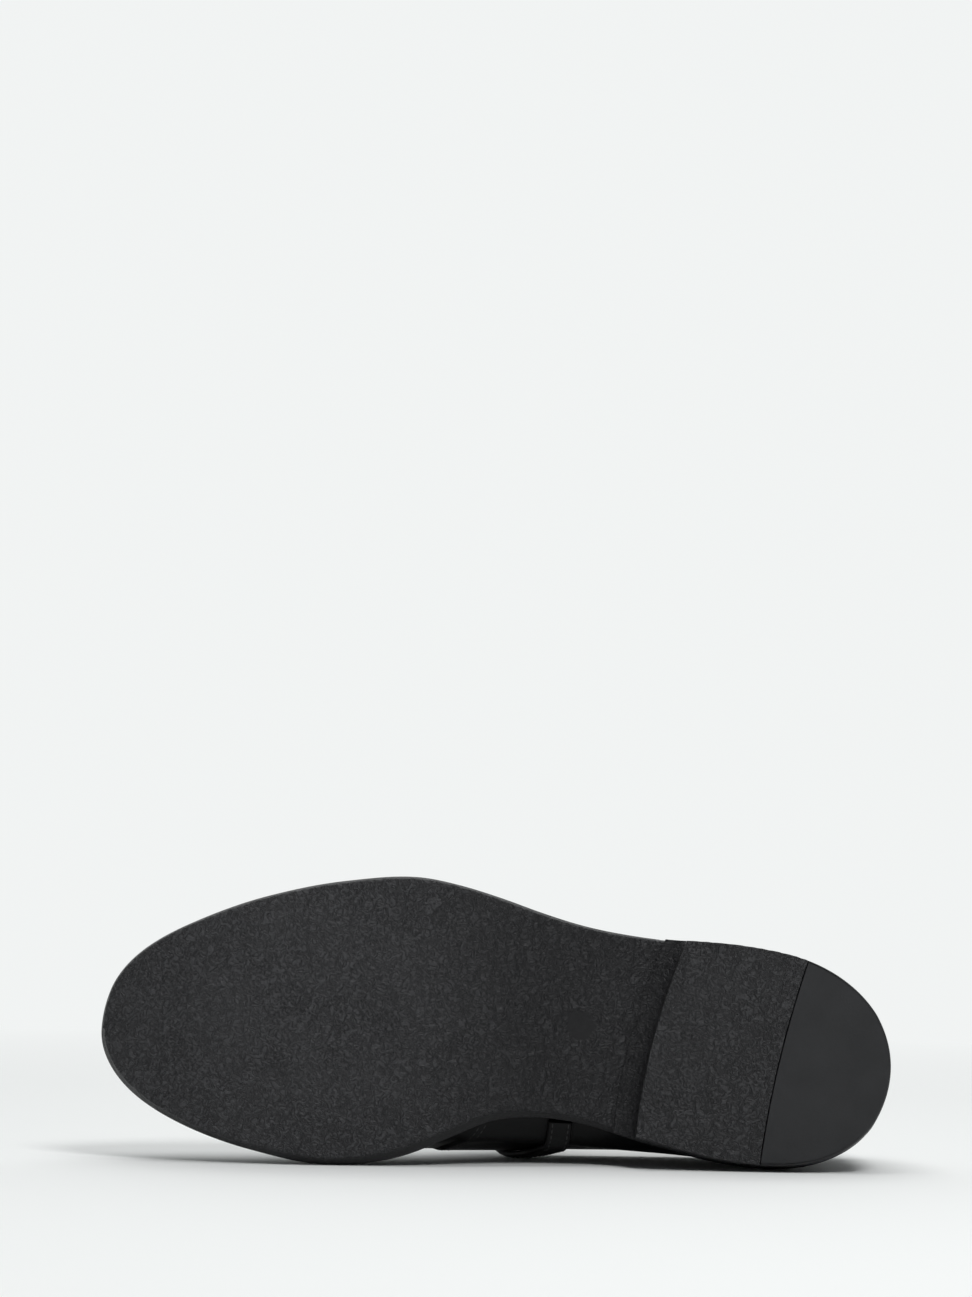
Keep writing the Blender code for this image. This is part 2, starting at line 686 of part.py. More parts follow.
def resting_turn(items):
    """The turn that lays the shoe on the hull face under its centre of mass, inner side down."""
    weight = 0
    moment = np.zeros(3)
    for item in items:
        volume, middle = volume_and_middle(item)
        mass = volume * DENSITY[item.data.materials[0].name]
        weight += mass
        moment += mass * middle
    centre = Vector(moment / weight)
    hull = bmesh.new()
    for item in items:
        for vert in item.data.vertices:
            hull.verts.new(vert.co)
    bmesh.ops.convex_hull(hull, input=hull.verts)
    best = None
    for face in hull.faces:
        face.normal_update()
        corners = [vert.co for vert in face.verts]
        outward = face.normal if face.normal.dot(corners[0] - centre) > 0 else -face.normal
        foot = centre + outward * outward.dot(corners[0] - centre)
        turns = [outward.dot((b - a).cross(foot - a)) for a, b in zip(corners, corners[1:] + corners[:1])]
        under = all(t >= 0 for t in turns) or all(t <= 0 for t in turns)
        if under and (best is None or -outward.y > -best.y):
            best = outward.copy()
    hull.free()
    lay = Matrix(((-1, 0, 0), (0, 0, 1), (0, 1, 0)))
    down = lay @ best
    return down.rotation_difference(Vector((0, 0, -1))).to_matrix() @ lay


def lay_down():
    """Carry every piece on one empty, laid on its side with the box's foot at the origin."""
    meshes = [item for item in bpy.data.objects if item.type == "MESH"]
    items = [item for item in meshes if not item.hide_render]
    turn = resting_turn(items)
    points = np.array([turn @ vert.co for item in items for vert in item.data.vertices])
    low = points.min(axis=0)
    high = points.max(axis=0)
    shift = Vector((-(low[0] + high[0]) / 2, -(low[1] + high[1]) / 2, -low[2]))
    carrier = bpy.data.objects.new("shoe", None)
    bpy.context.scene.collection.objects.link(carrier)
    carrier.matrix_world = Matrix.Translation(shift) @ turn.to_4x4()
    for item in meshes:
        item.parent = carrier


def main():
    for item in list(bpy.data.objects):
        bpy.data.objects.remove(item, do_unlink=True)
    make_outsole()
    make_heel()
    make_upper()
    make_insole()
    frame = StrapFrame()
    make_strap(frame)
    make_buckle_tab(frame)
    make_buckle_frame(frame)
    make_buckle_prong(frame)
    make_keeper(frame)
    lay_down()


main()
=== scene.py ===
"""Looks of a left monk strap loafer that lies on its inner side, its sole to the camera."""

import json
import math

import bmesh
import bpy
import numpy as np
from mathutils import Matrix, Vector, noise
from mathutils.bvhtree import BVHTree


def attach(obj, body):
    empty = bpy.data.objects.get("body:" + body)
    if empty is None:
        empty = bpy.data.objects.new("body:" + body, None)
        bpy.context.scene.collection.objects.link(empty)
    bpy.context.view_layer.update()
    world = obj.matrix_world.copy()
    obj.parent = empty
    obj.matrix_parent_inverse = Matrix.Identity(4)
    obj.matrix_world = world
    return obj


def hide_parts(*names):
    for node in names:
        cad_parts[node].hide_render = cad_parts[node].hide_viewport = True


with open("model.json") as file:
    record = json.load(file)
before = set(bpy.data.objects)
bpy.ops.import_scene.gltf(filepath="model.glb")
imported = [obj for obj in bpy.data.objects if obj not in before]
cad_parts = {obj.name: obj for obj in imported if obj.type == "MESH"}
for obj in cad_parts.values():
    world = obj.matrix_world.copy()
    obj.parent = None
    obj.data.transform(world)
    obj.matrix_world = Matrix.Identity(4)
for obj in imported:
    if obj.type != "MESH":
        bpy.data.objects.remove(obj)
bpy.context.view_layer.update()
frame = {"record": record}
MM = 0.001

# Outsole: one sheet of moulded black rubber, cemented under the upper from toe to heel. The
# tread is crinkled all over like crepe, up to a thin smooth band on its side, and a round
# gate mark of smooth rubber lies in the arch.
SOLE_LENGTH = 298 * MM
BALL_WIDTH = 109.5 * MM
WAIST_WIDTH = 75 * MM
HEEL_WIDTH = 81.5 * MM
SOLE_THICKNESS = 6.5 * MM
SEAT_THICKNESS = 5 * MM
TOE_SPRING = 10 * MM
HEEL_HEIGHT = 12.5 * MM
GAP = 0.3 * MM
TREAD_BEVEL = 0.9 * MM
OUTER_FLARE = 0.8 * MM
INNER_FLARE = 2.6 * MM
HEEL_FLAT = Vector((20 * MM, 0, 0))
BALL_FLAT = Vector((0.67 * SOLE_LENGTH, 4 * MM, 0))
GATE_MARK = (117.5 * MM, 10.6 * MM)
GATE_RADIUS = 5.5 * MM
CREPE_UP_THE_SIDE = 3 * MM
CREPE_SIZE = 2.5 * MM
CREPE_DEPTH = 0.55 * MM
RUBBER_SHINE = 0.35
SOLE_COLUMNS = 520
SOLE_ROWS = 112
OUTLINE = (
    # station, width followed, outer half, inner half
    (0.02, HEEL_WIDTH, 0.250, 0.262),
    (0.10, HEEL_WIDTH, 0.476, 0.454),
    (0.20, HEEL_WIDTH, 0.545, 0.464),
    (0.30, WAIST_WIDTH, 0.606, 0.428),
    (0.40, WAIST_WIDTH, 0.655, 0.334),
    (0.45, WAIST_WIDTH, 0.703, 0.325),
    (0.50, WAIST_WIDTH, 0.759, 0.357),
    (0.55, BALL_WIDTH, 0.553, 0.307),
    (0.60, BALL_WIDTH, 0.574, 0.372),
    (0.70, BALL_WIDTH, 0.549, 0.425),
    (0.80, BALL_WIDTH, 0.481, 0.389),
    (0.90, BALL_WIDTH, 0.368, 0.302),
    (0.97, BALL_WIDTH, 0.232, 0.177),
    (0.99, BALL_WIDTH, 0.146, 0.103),
)
FLARES = (
    # station, outer share, inner share
    (0.00, 0.6, 0.5),
    (0.25, 0.6, 0.4),
    (0.42, 1.0, 0.6),
    (0.58, 1.0, 1.0),
    (0.72, 1.0, 0.7),
    (1.00, 0.8, 0.5),
)
UNDERSIDE = (
    # station, share of the heel height, share of the toe spring
    (0.00, 1.00, 0.00),
    (0.34, 1.00, 0.00),
    (0.42, 0.78, 0.00),
    (0.52, 0.24, 0.00),
    (0.60, 0.00, 0.00),
    (0.74, 0.00, 0.00),
    (0.82, 0.00, 0.13),
    (0.91, 0.00, 0.48),
    (1.00, 0.00, 1.00),
)
SOLE_EDGE = (
    # share of the thickness, share of the flare, inset
    (0.000, 1.0, 0.90 * MM),
    (0.015, 1.0, 0.52 * MM),
    (0.045, 1.0, 0.24 * MM),
    (0.090, 1.0, 0.06 * MM),
    (0.140, 1.0, 0.00 * MM),
    (0.250, 0.8, 0.00 * MM),
    (0.370, 0.5, 0.00 * MM),
    (0.490, 0.2, 0.00 * MM),
    (0.600, 0.0, 0.00 * MM),
    (0.750, 0.0, 0.00 * MM),
    (0.900, 0.0, 0.00 * MM),
    (0.960, 0.0, 0.12 * MM),
    (1.000, 0.0, 0.45 * MM),
)


def shoe_axes(back, front, down):
    """The shoe's axes from two points of its tread and the way that the tread faces."""
    run = (front - back).normalized()
    return Matrix((run, run.cross(down), -down)).transposed()


def lying_place():
    """The place of the lying shoe, from the two flats of its tread that the record gives."""
    flats = {mount["name"]: mount for mount in frame["record"]["mounts"]}
    heel = Vector(flats["heel_flat"]["pos_m"])
    ball = Vector(flats["ball_flat"]["pos_m"])
    down = Vector(flats["heel_flat"]["axis"]).normalized()
    standing = shoe_axes(HEEL_FLAT, BALL_FLAT, Vector((0, 0, -1)))
    turn = shoe_axes(heel, ball, down) @ standing.inverted()
    return Matrix.Translation(heel - turn @ HEEL_FLAT) @ turn.to_4x4()


LYING = lying_place()


def through(knots, values, at, level_ends=False):
    """A smooth curve through values at the knots, constant past both ends."""
    knots = np.asarray(knots, float)
    values = np.asarray(values, float)
    slopes = np.gradient(values, knots, axis=0)
    if level_ends:
        slopes[0] = slopes[-1] = 0
    at = np.clip(at, knots[0], knots[-1])
    left = np.clip(np.searchsorted(knots, at) - 1, 0, len(knots) - 2)
    pick = (left,) if values.ndim == 1 else (left, np.arange(values.shape[1]))
    after = (left + 1,) + pick[1:]
    span = knots[left + 1] - knots[left]
    t = (at - knots[left]) / span
    rise = 3 * t**2 - 2 * t**3
    return ((1 - rise) * values[pick] + rise * values[after]
            + (t**3 - 2 * t**2 + t) * span * slopes[pick] + (t**3 - t**2) * span * slopes[after])


def turn_of(share):
    """The angle round a half circle at a share of its length."""
    return np.arccos(1 - 2 * np.clip(share, 0, 1))


def column(rows, index):
    return np.array([row[index] for row in rows], float)


def outline_fullness(share, side):
    """Half-width of the sole over that of a half circle, so that both ends are round."""
    stations = column(OUTLINE, 0)
    halves = column(OUTLINE, 1) * column(OUTLINE, 2 if side > 0 else 3)
    return through(turn_of(stations), halves / np.sin(turn_of(stations)), turn_of(share))


def half_width(share, side):
    return outline_fullness(share, side) * np.sin(turn_of(share))


def underside(x):
    """Height of the tread over the ground at a distance from the heel."""
    share = np.asarray(x) / SOLE_LENGTH
    stations = column(UNDERSIDE, 0)
    heel = through(stations, column(UNDERSIDE, 1), share)
    toe = through(stations, column(UNDERSIDE, 2), share)
    flat = (share >= UNDERSIDE[4][0]) & (share <= UNDERSIDE[5][0])
    return np.where(flat, 0, (HEEL_HEIGHT + GAP) * heel + TOE_SPRING * toe)


def sole_top(x):
    """Height of the sole's upper face."""
    seat = through((0.0, 0.30, 0.55, 1.0), (1, 1, 0, 0), np.asarray(x) / SOLE_LENGTH)
    return underside(x) + SEAT_THICKNESS * seat + SOLE_THICKNESS * (1 - seat)


def unit(vectors):
    return vectors / np.linalg.norm(vectors, axis=-1, keepdims=True)


def moved_in(loop, distance):
    """A clockwise loop of (x, y) moved inwards, each side of a corner by its own distance."""
    run = unit(np.roll(loop, -1, axis=0) - loop)
    after = np.stack([-run[:, 1], run[:, 0]], axis=1)
    before = np.roll(after, 1, axis=0)
    far = np.broadcast_to(distance, len(loop))[:, None]
    near = np.roll(far, 1, axis=0)
    turn = np.sum(before * after, axis=1)[:, None]
    gentle = (near + far) * (before + after) / np.maximum(2 * (1 + turn), 1)
    corner = before * (near - turn * far) + after * (far - turn * near)
    corner /= np.maximum(1 - turn**2, 0.01)
    return loop - np.where(turn > 0.98, gentle, corner)


def round_trip(half):
    """Shares of the length and sides, clockwise from the back of the heel, outer side first."""
    turn = np.pi * np.arange(2 * half) / half
    return (1 - np.cos(turn)) / 2, np.where(turn <= np.pi, 1, -1)


def sole_ring(height_share, flare_share, inset):
    """The sole's outline at one level, clockwise from the back of the heel, outer side first."""
    share, side = round_trip(SOLE_COLUMNS)
    outer = side > 0
    loop = np.stack([SOLE_LENGTH * share,
                     np.where(outer, half_width(share, 1), -half_width(share, -1))], axis=1)
    stations = column(FLARES, 0)
    flare = np.where(outer, OUTER_FLARE * through(stations, column(FLARES, 1), share),
                     INNER_FLARE * through(stations, column(FLARES, 2), share))
    loop = moved_in(loop, flare * flare_share + inset)
    low, high = underside(loop[:, 0]), sole_top(loop[:, 0])
    return np.column_stack([loop, low + height_share * (high - low)])


def across_ring(ring, rows):
    """Rungs over a ring of points, from its outer half to its inner half."""
    half = len(ring) // 2
    outer = ring[:half + 1]
    inner = np.concatenate([ring[:1], ring[:half - 1:-1]])
    share = np.linspace(0, 1, rows + 1)[:, None, None]
    return outer * (1 - share) + inner * share


def drape(mesh, points, material=0):
    """Lay a grid of faces over an array of points, rows by columns."""
    rows, columns = points.shape[0] - 1, points.shape[1] - 1
    made = bmesh.ops.create_grid(mesh, x_segments=columns, y_segments=rows, size=0.5)
    for vert in made["verts"]:
        vert.co = points[round((vert.co.y + 0.5) * rows), round((vert.co.x + 0.5) * columns)]
        for face in vert.link_faces:
            face.material_index = material


def closed(rings):
    """Rings with their first point repeated at the end, ready to be draped round."""
    rings = np.asarray(rings)
    return np.concatenate([rings, rings[:, :1]], axis=1)


def raise_relief(mesh, relief):
    """Move every point out along its normal by relief(point)."""
    bmesh.ops.recalc_face_normals(mesh, faces=mesh.faces)
    mesh.normal_update()
    for vert, normal in [(vert, vert.normal.copy()) for vert in mesh.verts]:
        vert.co += normal * relief(vert.co)


def to_data(mesh, name):
    """The mesh data of a bmesh, which is freed."""
    data = bpy.data.meshes.new(name)
    mesh.to_mesh(data)
    mesh.free()
    return data


def put_in_scene(name, data):
    item = bpy.data.objects.new(name, data)
    bpy.context.scene.collection.objects.link(item)
    return item


def settle(mesh, name, nodes, materials, masks=None):
    """Make a shoe piece from a mesh in the shoe's own coordinates, lay it down and let it ride."""
    bmesh.ops.recalc_face_normals(mesh, faces=mesh.faces)
    data = to_data(mesh, name)
    points = np.array([vert.co for vert in data.vertices])
    for mask, share in (masks or {}).items():
        values = np.asarray(share(points), np.float32)
        data.attributes.new(mask, "FLOAT", "POINT").data.foreach_set("value", values)
    data.transform(LYING)
    data.shade_smooth()
    data.set_sharp_from_angle(angle=math.radians(50))
    for material in materials:
        data.materials.append(material)
    piece = put_in_scene(name, data)
    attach(piece, "root")
    if nodes:
        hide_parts(*nodes)
    return piece


def welded(mesh):
    bmesh.ops.remove_doubles(mesh, verts=mesh.verts, dist=0.002 * MM)
    return mesh


def crinkle_relief(point):
    """Pebbled unevenness of the crepe tread, in metres."""
    pebble = noise.noise(point / (1.7 * MM))
    swell = noise.noise(point / (8 * MM))
    return (0.20 * pebble + 0.08 * swell) * MM


def tread_share(points):
    """1 on the crinkled tread and 0 on smooth rubber: the sole's side and the gate mark."""
    over = points[:, 2] - underside(points[:, 0])
    tread = np.clip((0.5 * MM - over) / (0.3 * MM), 0, 1)
    away = np.hypot(points[:, 0] - GATE_MARK[0], points[:, 1] - GATE_MARK[1])
    return tread * np.clip((away - GATE_RADIUS) / (0.35 * MM) + 0.5, 0, 1)


def wear_and_shade_share(points):
    """How far the tread is worn grey, most under the ball; its low values in the arch and before
    the heel breast darken the tread there, partly as unworn rubber and partly as painted shade.
    """
    stations = (0.0, 0.12, 0.34, 0.45, 0.60, 0.72, 0.88, 1.0)
    return through(stations, (0.9, 0.8, 0.3, 0.1, 0.7, 1.0, 0.9, 0.6), points[:, 0] / SOLE_LENGTH)


def new_group(name, inputs, outputs):
    """A shader node group with named inputs (name, value) and named outputs (name, kind)."""
    group = bpy.data.node_groups.new(name, "ShaderNodeTree")
    for label, value in inputs:
        socket = group.interface.new_socket(label, in_out="INPUT", socket_type="NodeSocketFloat")
        socket.default_value = value
    for label, kind in outputs:
        group.interface.new_socket(label, in_out="OUTPUT", socket_type=kind)
    return group, group.nodes.new("NodeGroupInput"), group.nodes.new("NodeGroupOutput")


def node(tree, kind, inputs=None, **settings):
    """A node with its settings and inputs; an input is a value or another node's output."""
    made = tree.nodes.new(kind)
    for name, value in settings.items():
        setattr(made, name, value)
    for key, value in (inputs or {}).items():
        if isinstance(value, bpy.types.NodeSocket):
            tree.links.new(value, made.inputs[key])
        else:
            made.inputs[key].default_value = value
    return made


def math_node(tree, operation, first, second=0.0, clamp=False):
    made = node(tree, "ShaderNodeMath", {0: first, 1: second}, operation=operation, use_clamp=clamp)
    return made.outputs[0]


def remap(tree, value, low, high, to_low=0.0, to_high=1.0):
    made = node(tree, "ShaderNodeMapRange", {"Value": value, "From Min": low, "From Max": high,
                                             "To Min": to_low, "To Max": to_high})
    return made.outputs["Result"]


def blend(tree, share, first, second):
    """A mix of two colours, each a colour or an output."""
    made = node(tree, "ShaderNodeMix", data_type="RGBA")
    for key, value in ((0, share), (6, first), (7, second)):
        if isinstance(value, bpy.types.NodeSocket):
            tree.links.new(value, made.inputs[key])
        else:
            made.inputs[key].default_value = value if key == 0 else (*value, 1)
    return made.outputs[2]


def object_noise(tree, size, detail=3.0, roughness=0.55, distortion=0.0):
    """Noise on object coordinates, about 0 to 1, its lumps about as large as size in metres."""
    place = node(tree, "ShaderNodeTexCoord").outputs["Object"]
    inputs = {"Vector": place, "Detail": detail, "Roughness": roughness, "Distortion": distortion}
    made = node(tree, "ShaderNodeTexNoise", inputs)
    if isinstance(size, bpy.types.NodeSocket):
        tree.links.new(math_node(tree, "DIVIDE", 1.0, size), made.inputs["Scale"])
    else:
        made.inputs["Scale"].default_value = 1 / size
    return made.outputs["Fac"]


def make_crinkle_group():
    """Crepe crinkles: Height for a bump and Tone, which follows the height: painted shade in the
    hollows and painted light on the crests.
    """
    tree, given, put = new_group("crinkle", (("Size", 1.2 * MM),),
                                 (("Height", "NodeSocketFloat"), ("Tone", "NodeSocketFloat")))
    size = given.outputs["Size"]
    worms = object_noise(tree, size, detail=2.0, distortion=1.2)
    ridges = math_node(tree, "ABSOLUTE", math_node(tree, "SUBTRACT", worms, 0.5))
    ridges = remap(tree, ridges, 0.0, 0.14)
    fine = object_noise(tree, math_node(tree, "MULTIPLY", size, 0.45), detail=2.0)
    grit = remap(tree, fine, 0.3, 0.7)
    height = math_node(tree, "ADD", math_node(tree, "MULTIPLY", ridges, 0.62),
                       math_node(tree, "MULTIPLY", grit, 0.38))
    tree.links.new(height, put.inputs["Height"])
    # Tone is the height itself, so colour fed from it is painted shade in the hollows and painted
    # light on the crests.
    tree.links.new(height, put.inputs["Tone"])
    return tree


def make_scuff_group():
    """Soft patches and fine scratches of wear: Mask from 0, untouched, to 1, scuffed."""
    tree, given, put = new_group("scuffs", (("Size", 14 * MM), ("Amount", 0.5)),
                                 (("Mask", "NodeSocketFloat"),))
    patch = object_noise(tree, given.outputs["Size"], detail=4.0)
    patch = remap(tree, patch, 0.35, 0.75)
    streak = object_noise(tree, 1.6 * MM, detail=5.0, roughness=0.7, distortion=2.0)
    streak = remap(tree, streak, 0.45, 0.8)
    both = math_node(tree, "ADD", math_node(tree, "MULTIPLY", patch, 0.6),
                     math_node(tree, "MULTIPLY", streak, 0.4))
    tree.links.new(math_node(tree, "MULTIPLY", both, given.outputs["Amount"], clamp=True),
                   put.inputs["Mask"])
    return tree


CRINKLE = make_crinkle_group()
SCUFFS = make_scuff_group()


def group_node(tree, group, **values):
    made = tree.nodes.new("ShaderNodeGroup")
    made.node_tree = group
    for name, value in values.items():
        key = name.replace("_", " ").title()
        if isinstance(value, bpy.types.NodeSocket):
            tree.links.new(value, made.inputs[key])
        else:
            made.inputs[key].default_value = value
    return made


def new_material(name):
    material = bpy.data.materials.new(name)
    material.use_nodes = True
    return material, material.node_tree, material.node_tree.nodes["Principled BSDF"]


def mask_of(tree, name):
    """A piece's own painted mask, as a value."""
    return node(tree, "ShaderNodeAttribute", attribute_name=name).outputs["Fac"]


def dress(tree, shader, colour, roughness, height, depth, strength=1.0):
    """Feed a material's colour, roughness and bump, whose depth is in metres."""
    bump = node(tree, "ShaderNodeBump", {"Height": height, "Strength": strength, "Distance": depth})
    tree.links.new(colour, shader.inputs["Base Color"])
    tree.links.new(roughness, shader.inputs["Roughness"])
    tree.links.new(bump.outputs["Normal"], shader.inputs["Normal"])


def sole_rubber():
    """Black crepe rubber: painted shade in the hollows and painted light on the crests, worn grey
    under the ball, darker in the arch and before the heel breast (partly unworn rubber, partly
    painted shade), smooth where not crinkled.
    """
    made, tree, shader = new_material("sole_crepe")
    crepe = mask_of(tree, "crepe")
    wear_and_shade = mask_of(tree, "wear_and_shade")
    crinkle = group_node(tree, CRINKLE, size=CREPE_SIZE)
    scuffs = group_node(tree, SCUFFS, size=22 * MM, amount=1.0)
    # Painted shade: the crinkles' hollows are coloured near black and their crests paler, and the
    # smooth rubber of the side and the gate mark takes the same near-black.
    tone = math_node(tree, "MULTIPLY", remap(tree, crinkle.outputs["Tone"], 0.1, 0.9), crepe)
    # Wear with painted shade: the tread is paler where the mask is high and darker where it is low,
    # in the arch and before the heel breast.
    pale = blend(tree, wear_and_shade, (0.023, 0.023, 0.025), (0.055, 0.055, 0.059))
    colour = blend(tree, tone, (0.008, 0.008, 0.009), pale)
    wear = math_node(tree, "MULTIPLY", scuffs.outputs["Mask"], 0.6)
    wear = math_node(tree, "MULTIPLY", wear, wear_and_shade)
    colour = blend(tree, wear, colour, (0.055, 0.055, 0.058))
    rough = remap(tree, crinkle.outputs["Tone"], 0.0, 1.0, 0.62, 0.42)
    height = math_node(tree, "MULTIPLY", crinkle.outputs["Height"],
                       remap(tree, crepe, 0.0, 1.0, 0.08, 1.0))
    dress(tree, shader, colour, rough, height, CREPE_DEPTH)
    shader.inputs["Specular IOR Level"].default_value = RUBBER_SHINE
    return made


sole = bmesh.new()
sole_rings = [sole_ring(*row) for row in SOLE_EDGE]
drape(sole, closed(sole_rings))
drape(sole, across_ring(sole_rings[0], SOLE_ROWS))
drape(sole, across_ring(sole_rings[-1], 4))
welded(sole)
raise_relief(sole, lambda point: crinkle_relief(point)
             if point.z < underside(point.x) + CREPE_UP_THE_SIDE else 0)
settle(sole, "sole_sheet", ["outsole"], [sole_rubber()],
       {"crepe": tread_share, "wear_and_shade": wear_and_shade_share})

# Heel: a block of the same crepe rubber with a hollowed breast, and under it a top piece in
# two parts, crepe in front and a smooth hard-wearing tip behind. They are cemented in layers.
TIP_THICKNESS = 5 * MM
HEEL_TAPER = 0.7 * MM
BREAST_HOLLOW = 8 * MM
BREAST_LIP = 1 * MM
BREAST = (79 * MM, 95 * MM, 3 * MM)
TIP_LINE = (33 * MM, 48 * MM, 2 * MM)
LINE_BEVEL = 0.15 * MM
SOFT_EDGE = 0.25 * MM
SOFT_LINE = 0.2 * MM
HEEL_ALONG = 90
HEEL_ACROSS = 96


def heel_sides(rear, front, inset, line_inset):
    """The four sides of a heel layer between two lines (outer x, inner x, bow) across the heel."""
    share = np.linspace(0, 1, HEEL_ALONG + 1)
    across = np.linspace(0, 1, HEEL_ACROSS + 1)[:, None]

    def edge(x, sign):
        return np.stack([x, sign * half_width(x / SOLE_LENGTH, sign)], axis=1)

    def line(outer, inner, bow):
        start = edge(np.array([outer]), 1)
        stop = edge(np.array([inner]), -1)
        return start + across * (stop - start) + 4 * bow * across * (1 - across) * np.array([1, 0])

    if rear is None:
        share = 1 - np.cos(share * np.pi / 2)
        rear_x = (0, 0)
        back_line = np.zeros((1, 2))
    else:
        rear_x = rear[:2]
        back_line = line(*rear)
    outer = edge(rear_x[0] + share * (front[0] - rear_x[0]), 1)
    inner = edge(rear_x[1] + share * (front[1] - rear_x[1]), -1)
    sides = [outer[:-1], line(*front)[:-1], inner[:0:-1], back_line[:0:-1]]
    insets = [inset, line_inset, inset, line_inset]
    if rear is None:
        sides.pop()
    loop = moved_in(np.concatenate(sides), np.concatenate(
        [np.full(len(side), depth) for side, depth in zip(sides, insets)]))
    stops = np.cumsum([0] + [len(side) for side in sides])
    ring = np.concatenate([loop, loop[:1]])
    parts = [ring[a:b + 1] for a, b in zip(stops, stops[1:])]
    if rear is None:
        parts.append(np.repeat(loop[:1], HEEL_ACROSS + 1, axis=0))
    return parts


def patch(sides):
    """A grid of (x, y) that fills four sides: outer, front, inner and rear, end to end."""
    outer, front, inner, rear = sides[0], sides[1], sides[2][::-1], sides[3][::-1]
    u = np.linspace(0, 1, len(outer))[:, None, None]
    v = np.linspace(0, 1, len(front))[None, :, None]
    ruled = (1 - v) * outer[:, None] + v * inner[:, None]
    ruled += (1 - u) * rear[None] + u * front[None]
    corners = (1 - u) * ((1 - v) * rear[0] + v * rear[-1])
    corners += u * ((1 - v) * front[0] + v * front[-1])
    return ruled - corners


def heel_layer(rear, front, levels):
    """A layer of the heel; levels are (height, forward shift of the breast, inset, line inset)."""
    mesh = bmesh.new()
    rings = []
    for height, shift, inset, line_inset in levels:
        moved = (front[0] + shift, front[1] + shift, front[2])
        sides = heel_sides(rear, moved, inset, line_inset)
        rings.append([np.column_stack([side, np.full(len(side), height)]) for side in sides])
        if height in (levels[0][0], levels[-1][0]):
            flat = patch(sides)
            drape(mesh, np.dstack([flat, np.full(flat.shape[:2], height)]))
    for k in range(4):
        drape(mesh, np.array([ring[k] for ring in rings]))
    return welded(mesh)


def plate_levels(line_bevel):
    """Levels of a top piece with a rounded tread edge and a taper."""
    turns = np.linspace(0, np.pi / 2, 5)
    rows = [(TREAD_BEVEL * (1 - math.cos(t)), 0, HEEL_TAPER + TREAD_BEVEL * (1 - math.sin(t)),
             line_bevel * (1 - math.sin(t))) for t in turns]
    return rows + [(TIP_THICKNESS - SOFT_EDGE, 0, HEEL_TAPER / 2, 0),
                   (TIP_THICKNESS, 0, HEEL_TAPER / 2 + SOFT_EDGE, SOFT_LINE)]


def block_levels():
    """Levels of the heel block, whose breast is hollowed in a quarter round up to a thin lip."""
    bottom = TIP_THICKNESS + GAP
    rise = HEEL_HEIGHT - BREAST_LIP - bottom
    rows = [(bottom, 0, HEEL_TAPER / 2 + SOFT_EDGE, SOFT_LINE)]
    rows += [(bottom + SOFT_EDGE + (rise - SOFT_EDGE) * math.sin(t),
              BREAST_HOLLOW * (1 - math.cos(t)), HEEL_TAPER * (1 - math.sin(t)) / 2, 0)
             for t in np.linspace(0, math.pi / 2, 12)]
    return rows + [(HEEL_HEIGHT, BREAST_HOLLOW, 0, 0)]


def heel_rubber(name, crinkled, dark, pale, scuffed):
    """Rubber of a heel layer, crinkled or smooth, scuffed by walking."""
    made, tree, shader = new_material(name)
    crinkle = group_node(tree, CRINKLE, size=CREPE_SIZE)
    scuffs = group_node(tree, SCUFFS, size=16 * MM, amount=1.0)
    # Painted shade: the colour follows the crinkles' height, dark in the hollows and pale on the
    # crests, by the share that is crinkled.
    tone = remap(tree, crinkle.outputs["Tone"], 0.2, 0.9, 0.0, crinkled)
    colour = blend(tree, tone, dark, pale)
    wear = math_node(tree, "MULTIPLY", scuffs.outputs["Mask"], 0.5)
    dress(tree, shader, blend(tree, wear, colour, scuffed),
          remap(tree, scuffs.outputs["Mask"], 0.0, 1.0, 0.44, 0.62),
          crinkle.outputs["Height"], CREPE_DEPTH if crinkled > 0.5 else 0.02 * MM)
    shader.inputs["Specular IOR Level"].default_value = RUBBER_SHINE
    return made


heel_crepe = heel_rubber("heel_crepe", 1.0, (0.006, 0.006, 0.007), (0.044, 0.044, 0.047),
                         (0.050, 0.050, 0.053))
# The heel block gets a darker copy of the heel crepe: painted shade on its hollowed breast, and
# partly unworn rubber.
block_crepe_painted_shade = heel_rubber("block_crepe_painted_shade", 1.0, (0.004, 0.004, 0.005), (0.020, 0.020, 0.022),
                          (0.026, 0.026, 0.028))
heel_smooth = heel_rubber("heel_smooth", 0.15, (0.024, 0.0245, 0.026), (0.030, 0.031, 0.033),
                          (0.036, 0.037, 0.040))
block = heel_layer(None, BREAST, block_levels())
settle(block, "heel_block", ["heel_base"], [block_crepe_painted_shade])
lift_line = (TIP_LINE[0] + GAP, TIP_LINE[1] + GAP, TIP_LINE[2])
lift = heel_layer(lift_line, BREAST, plate_levels(LINE_BEVEL))
raise_relief(lift, crinkle_relief)
settle(lift, "top_piece_front", ["heel_lift"], [heel_crepe])
tip = heel_layer(None, TIP_LINE, plate_levels(LINE_BEVEL))
settle(tip, "top_piece_tip", ["heel_tip"], [heel_smooth])

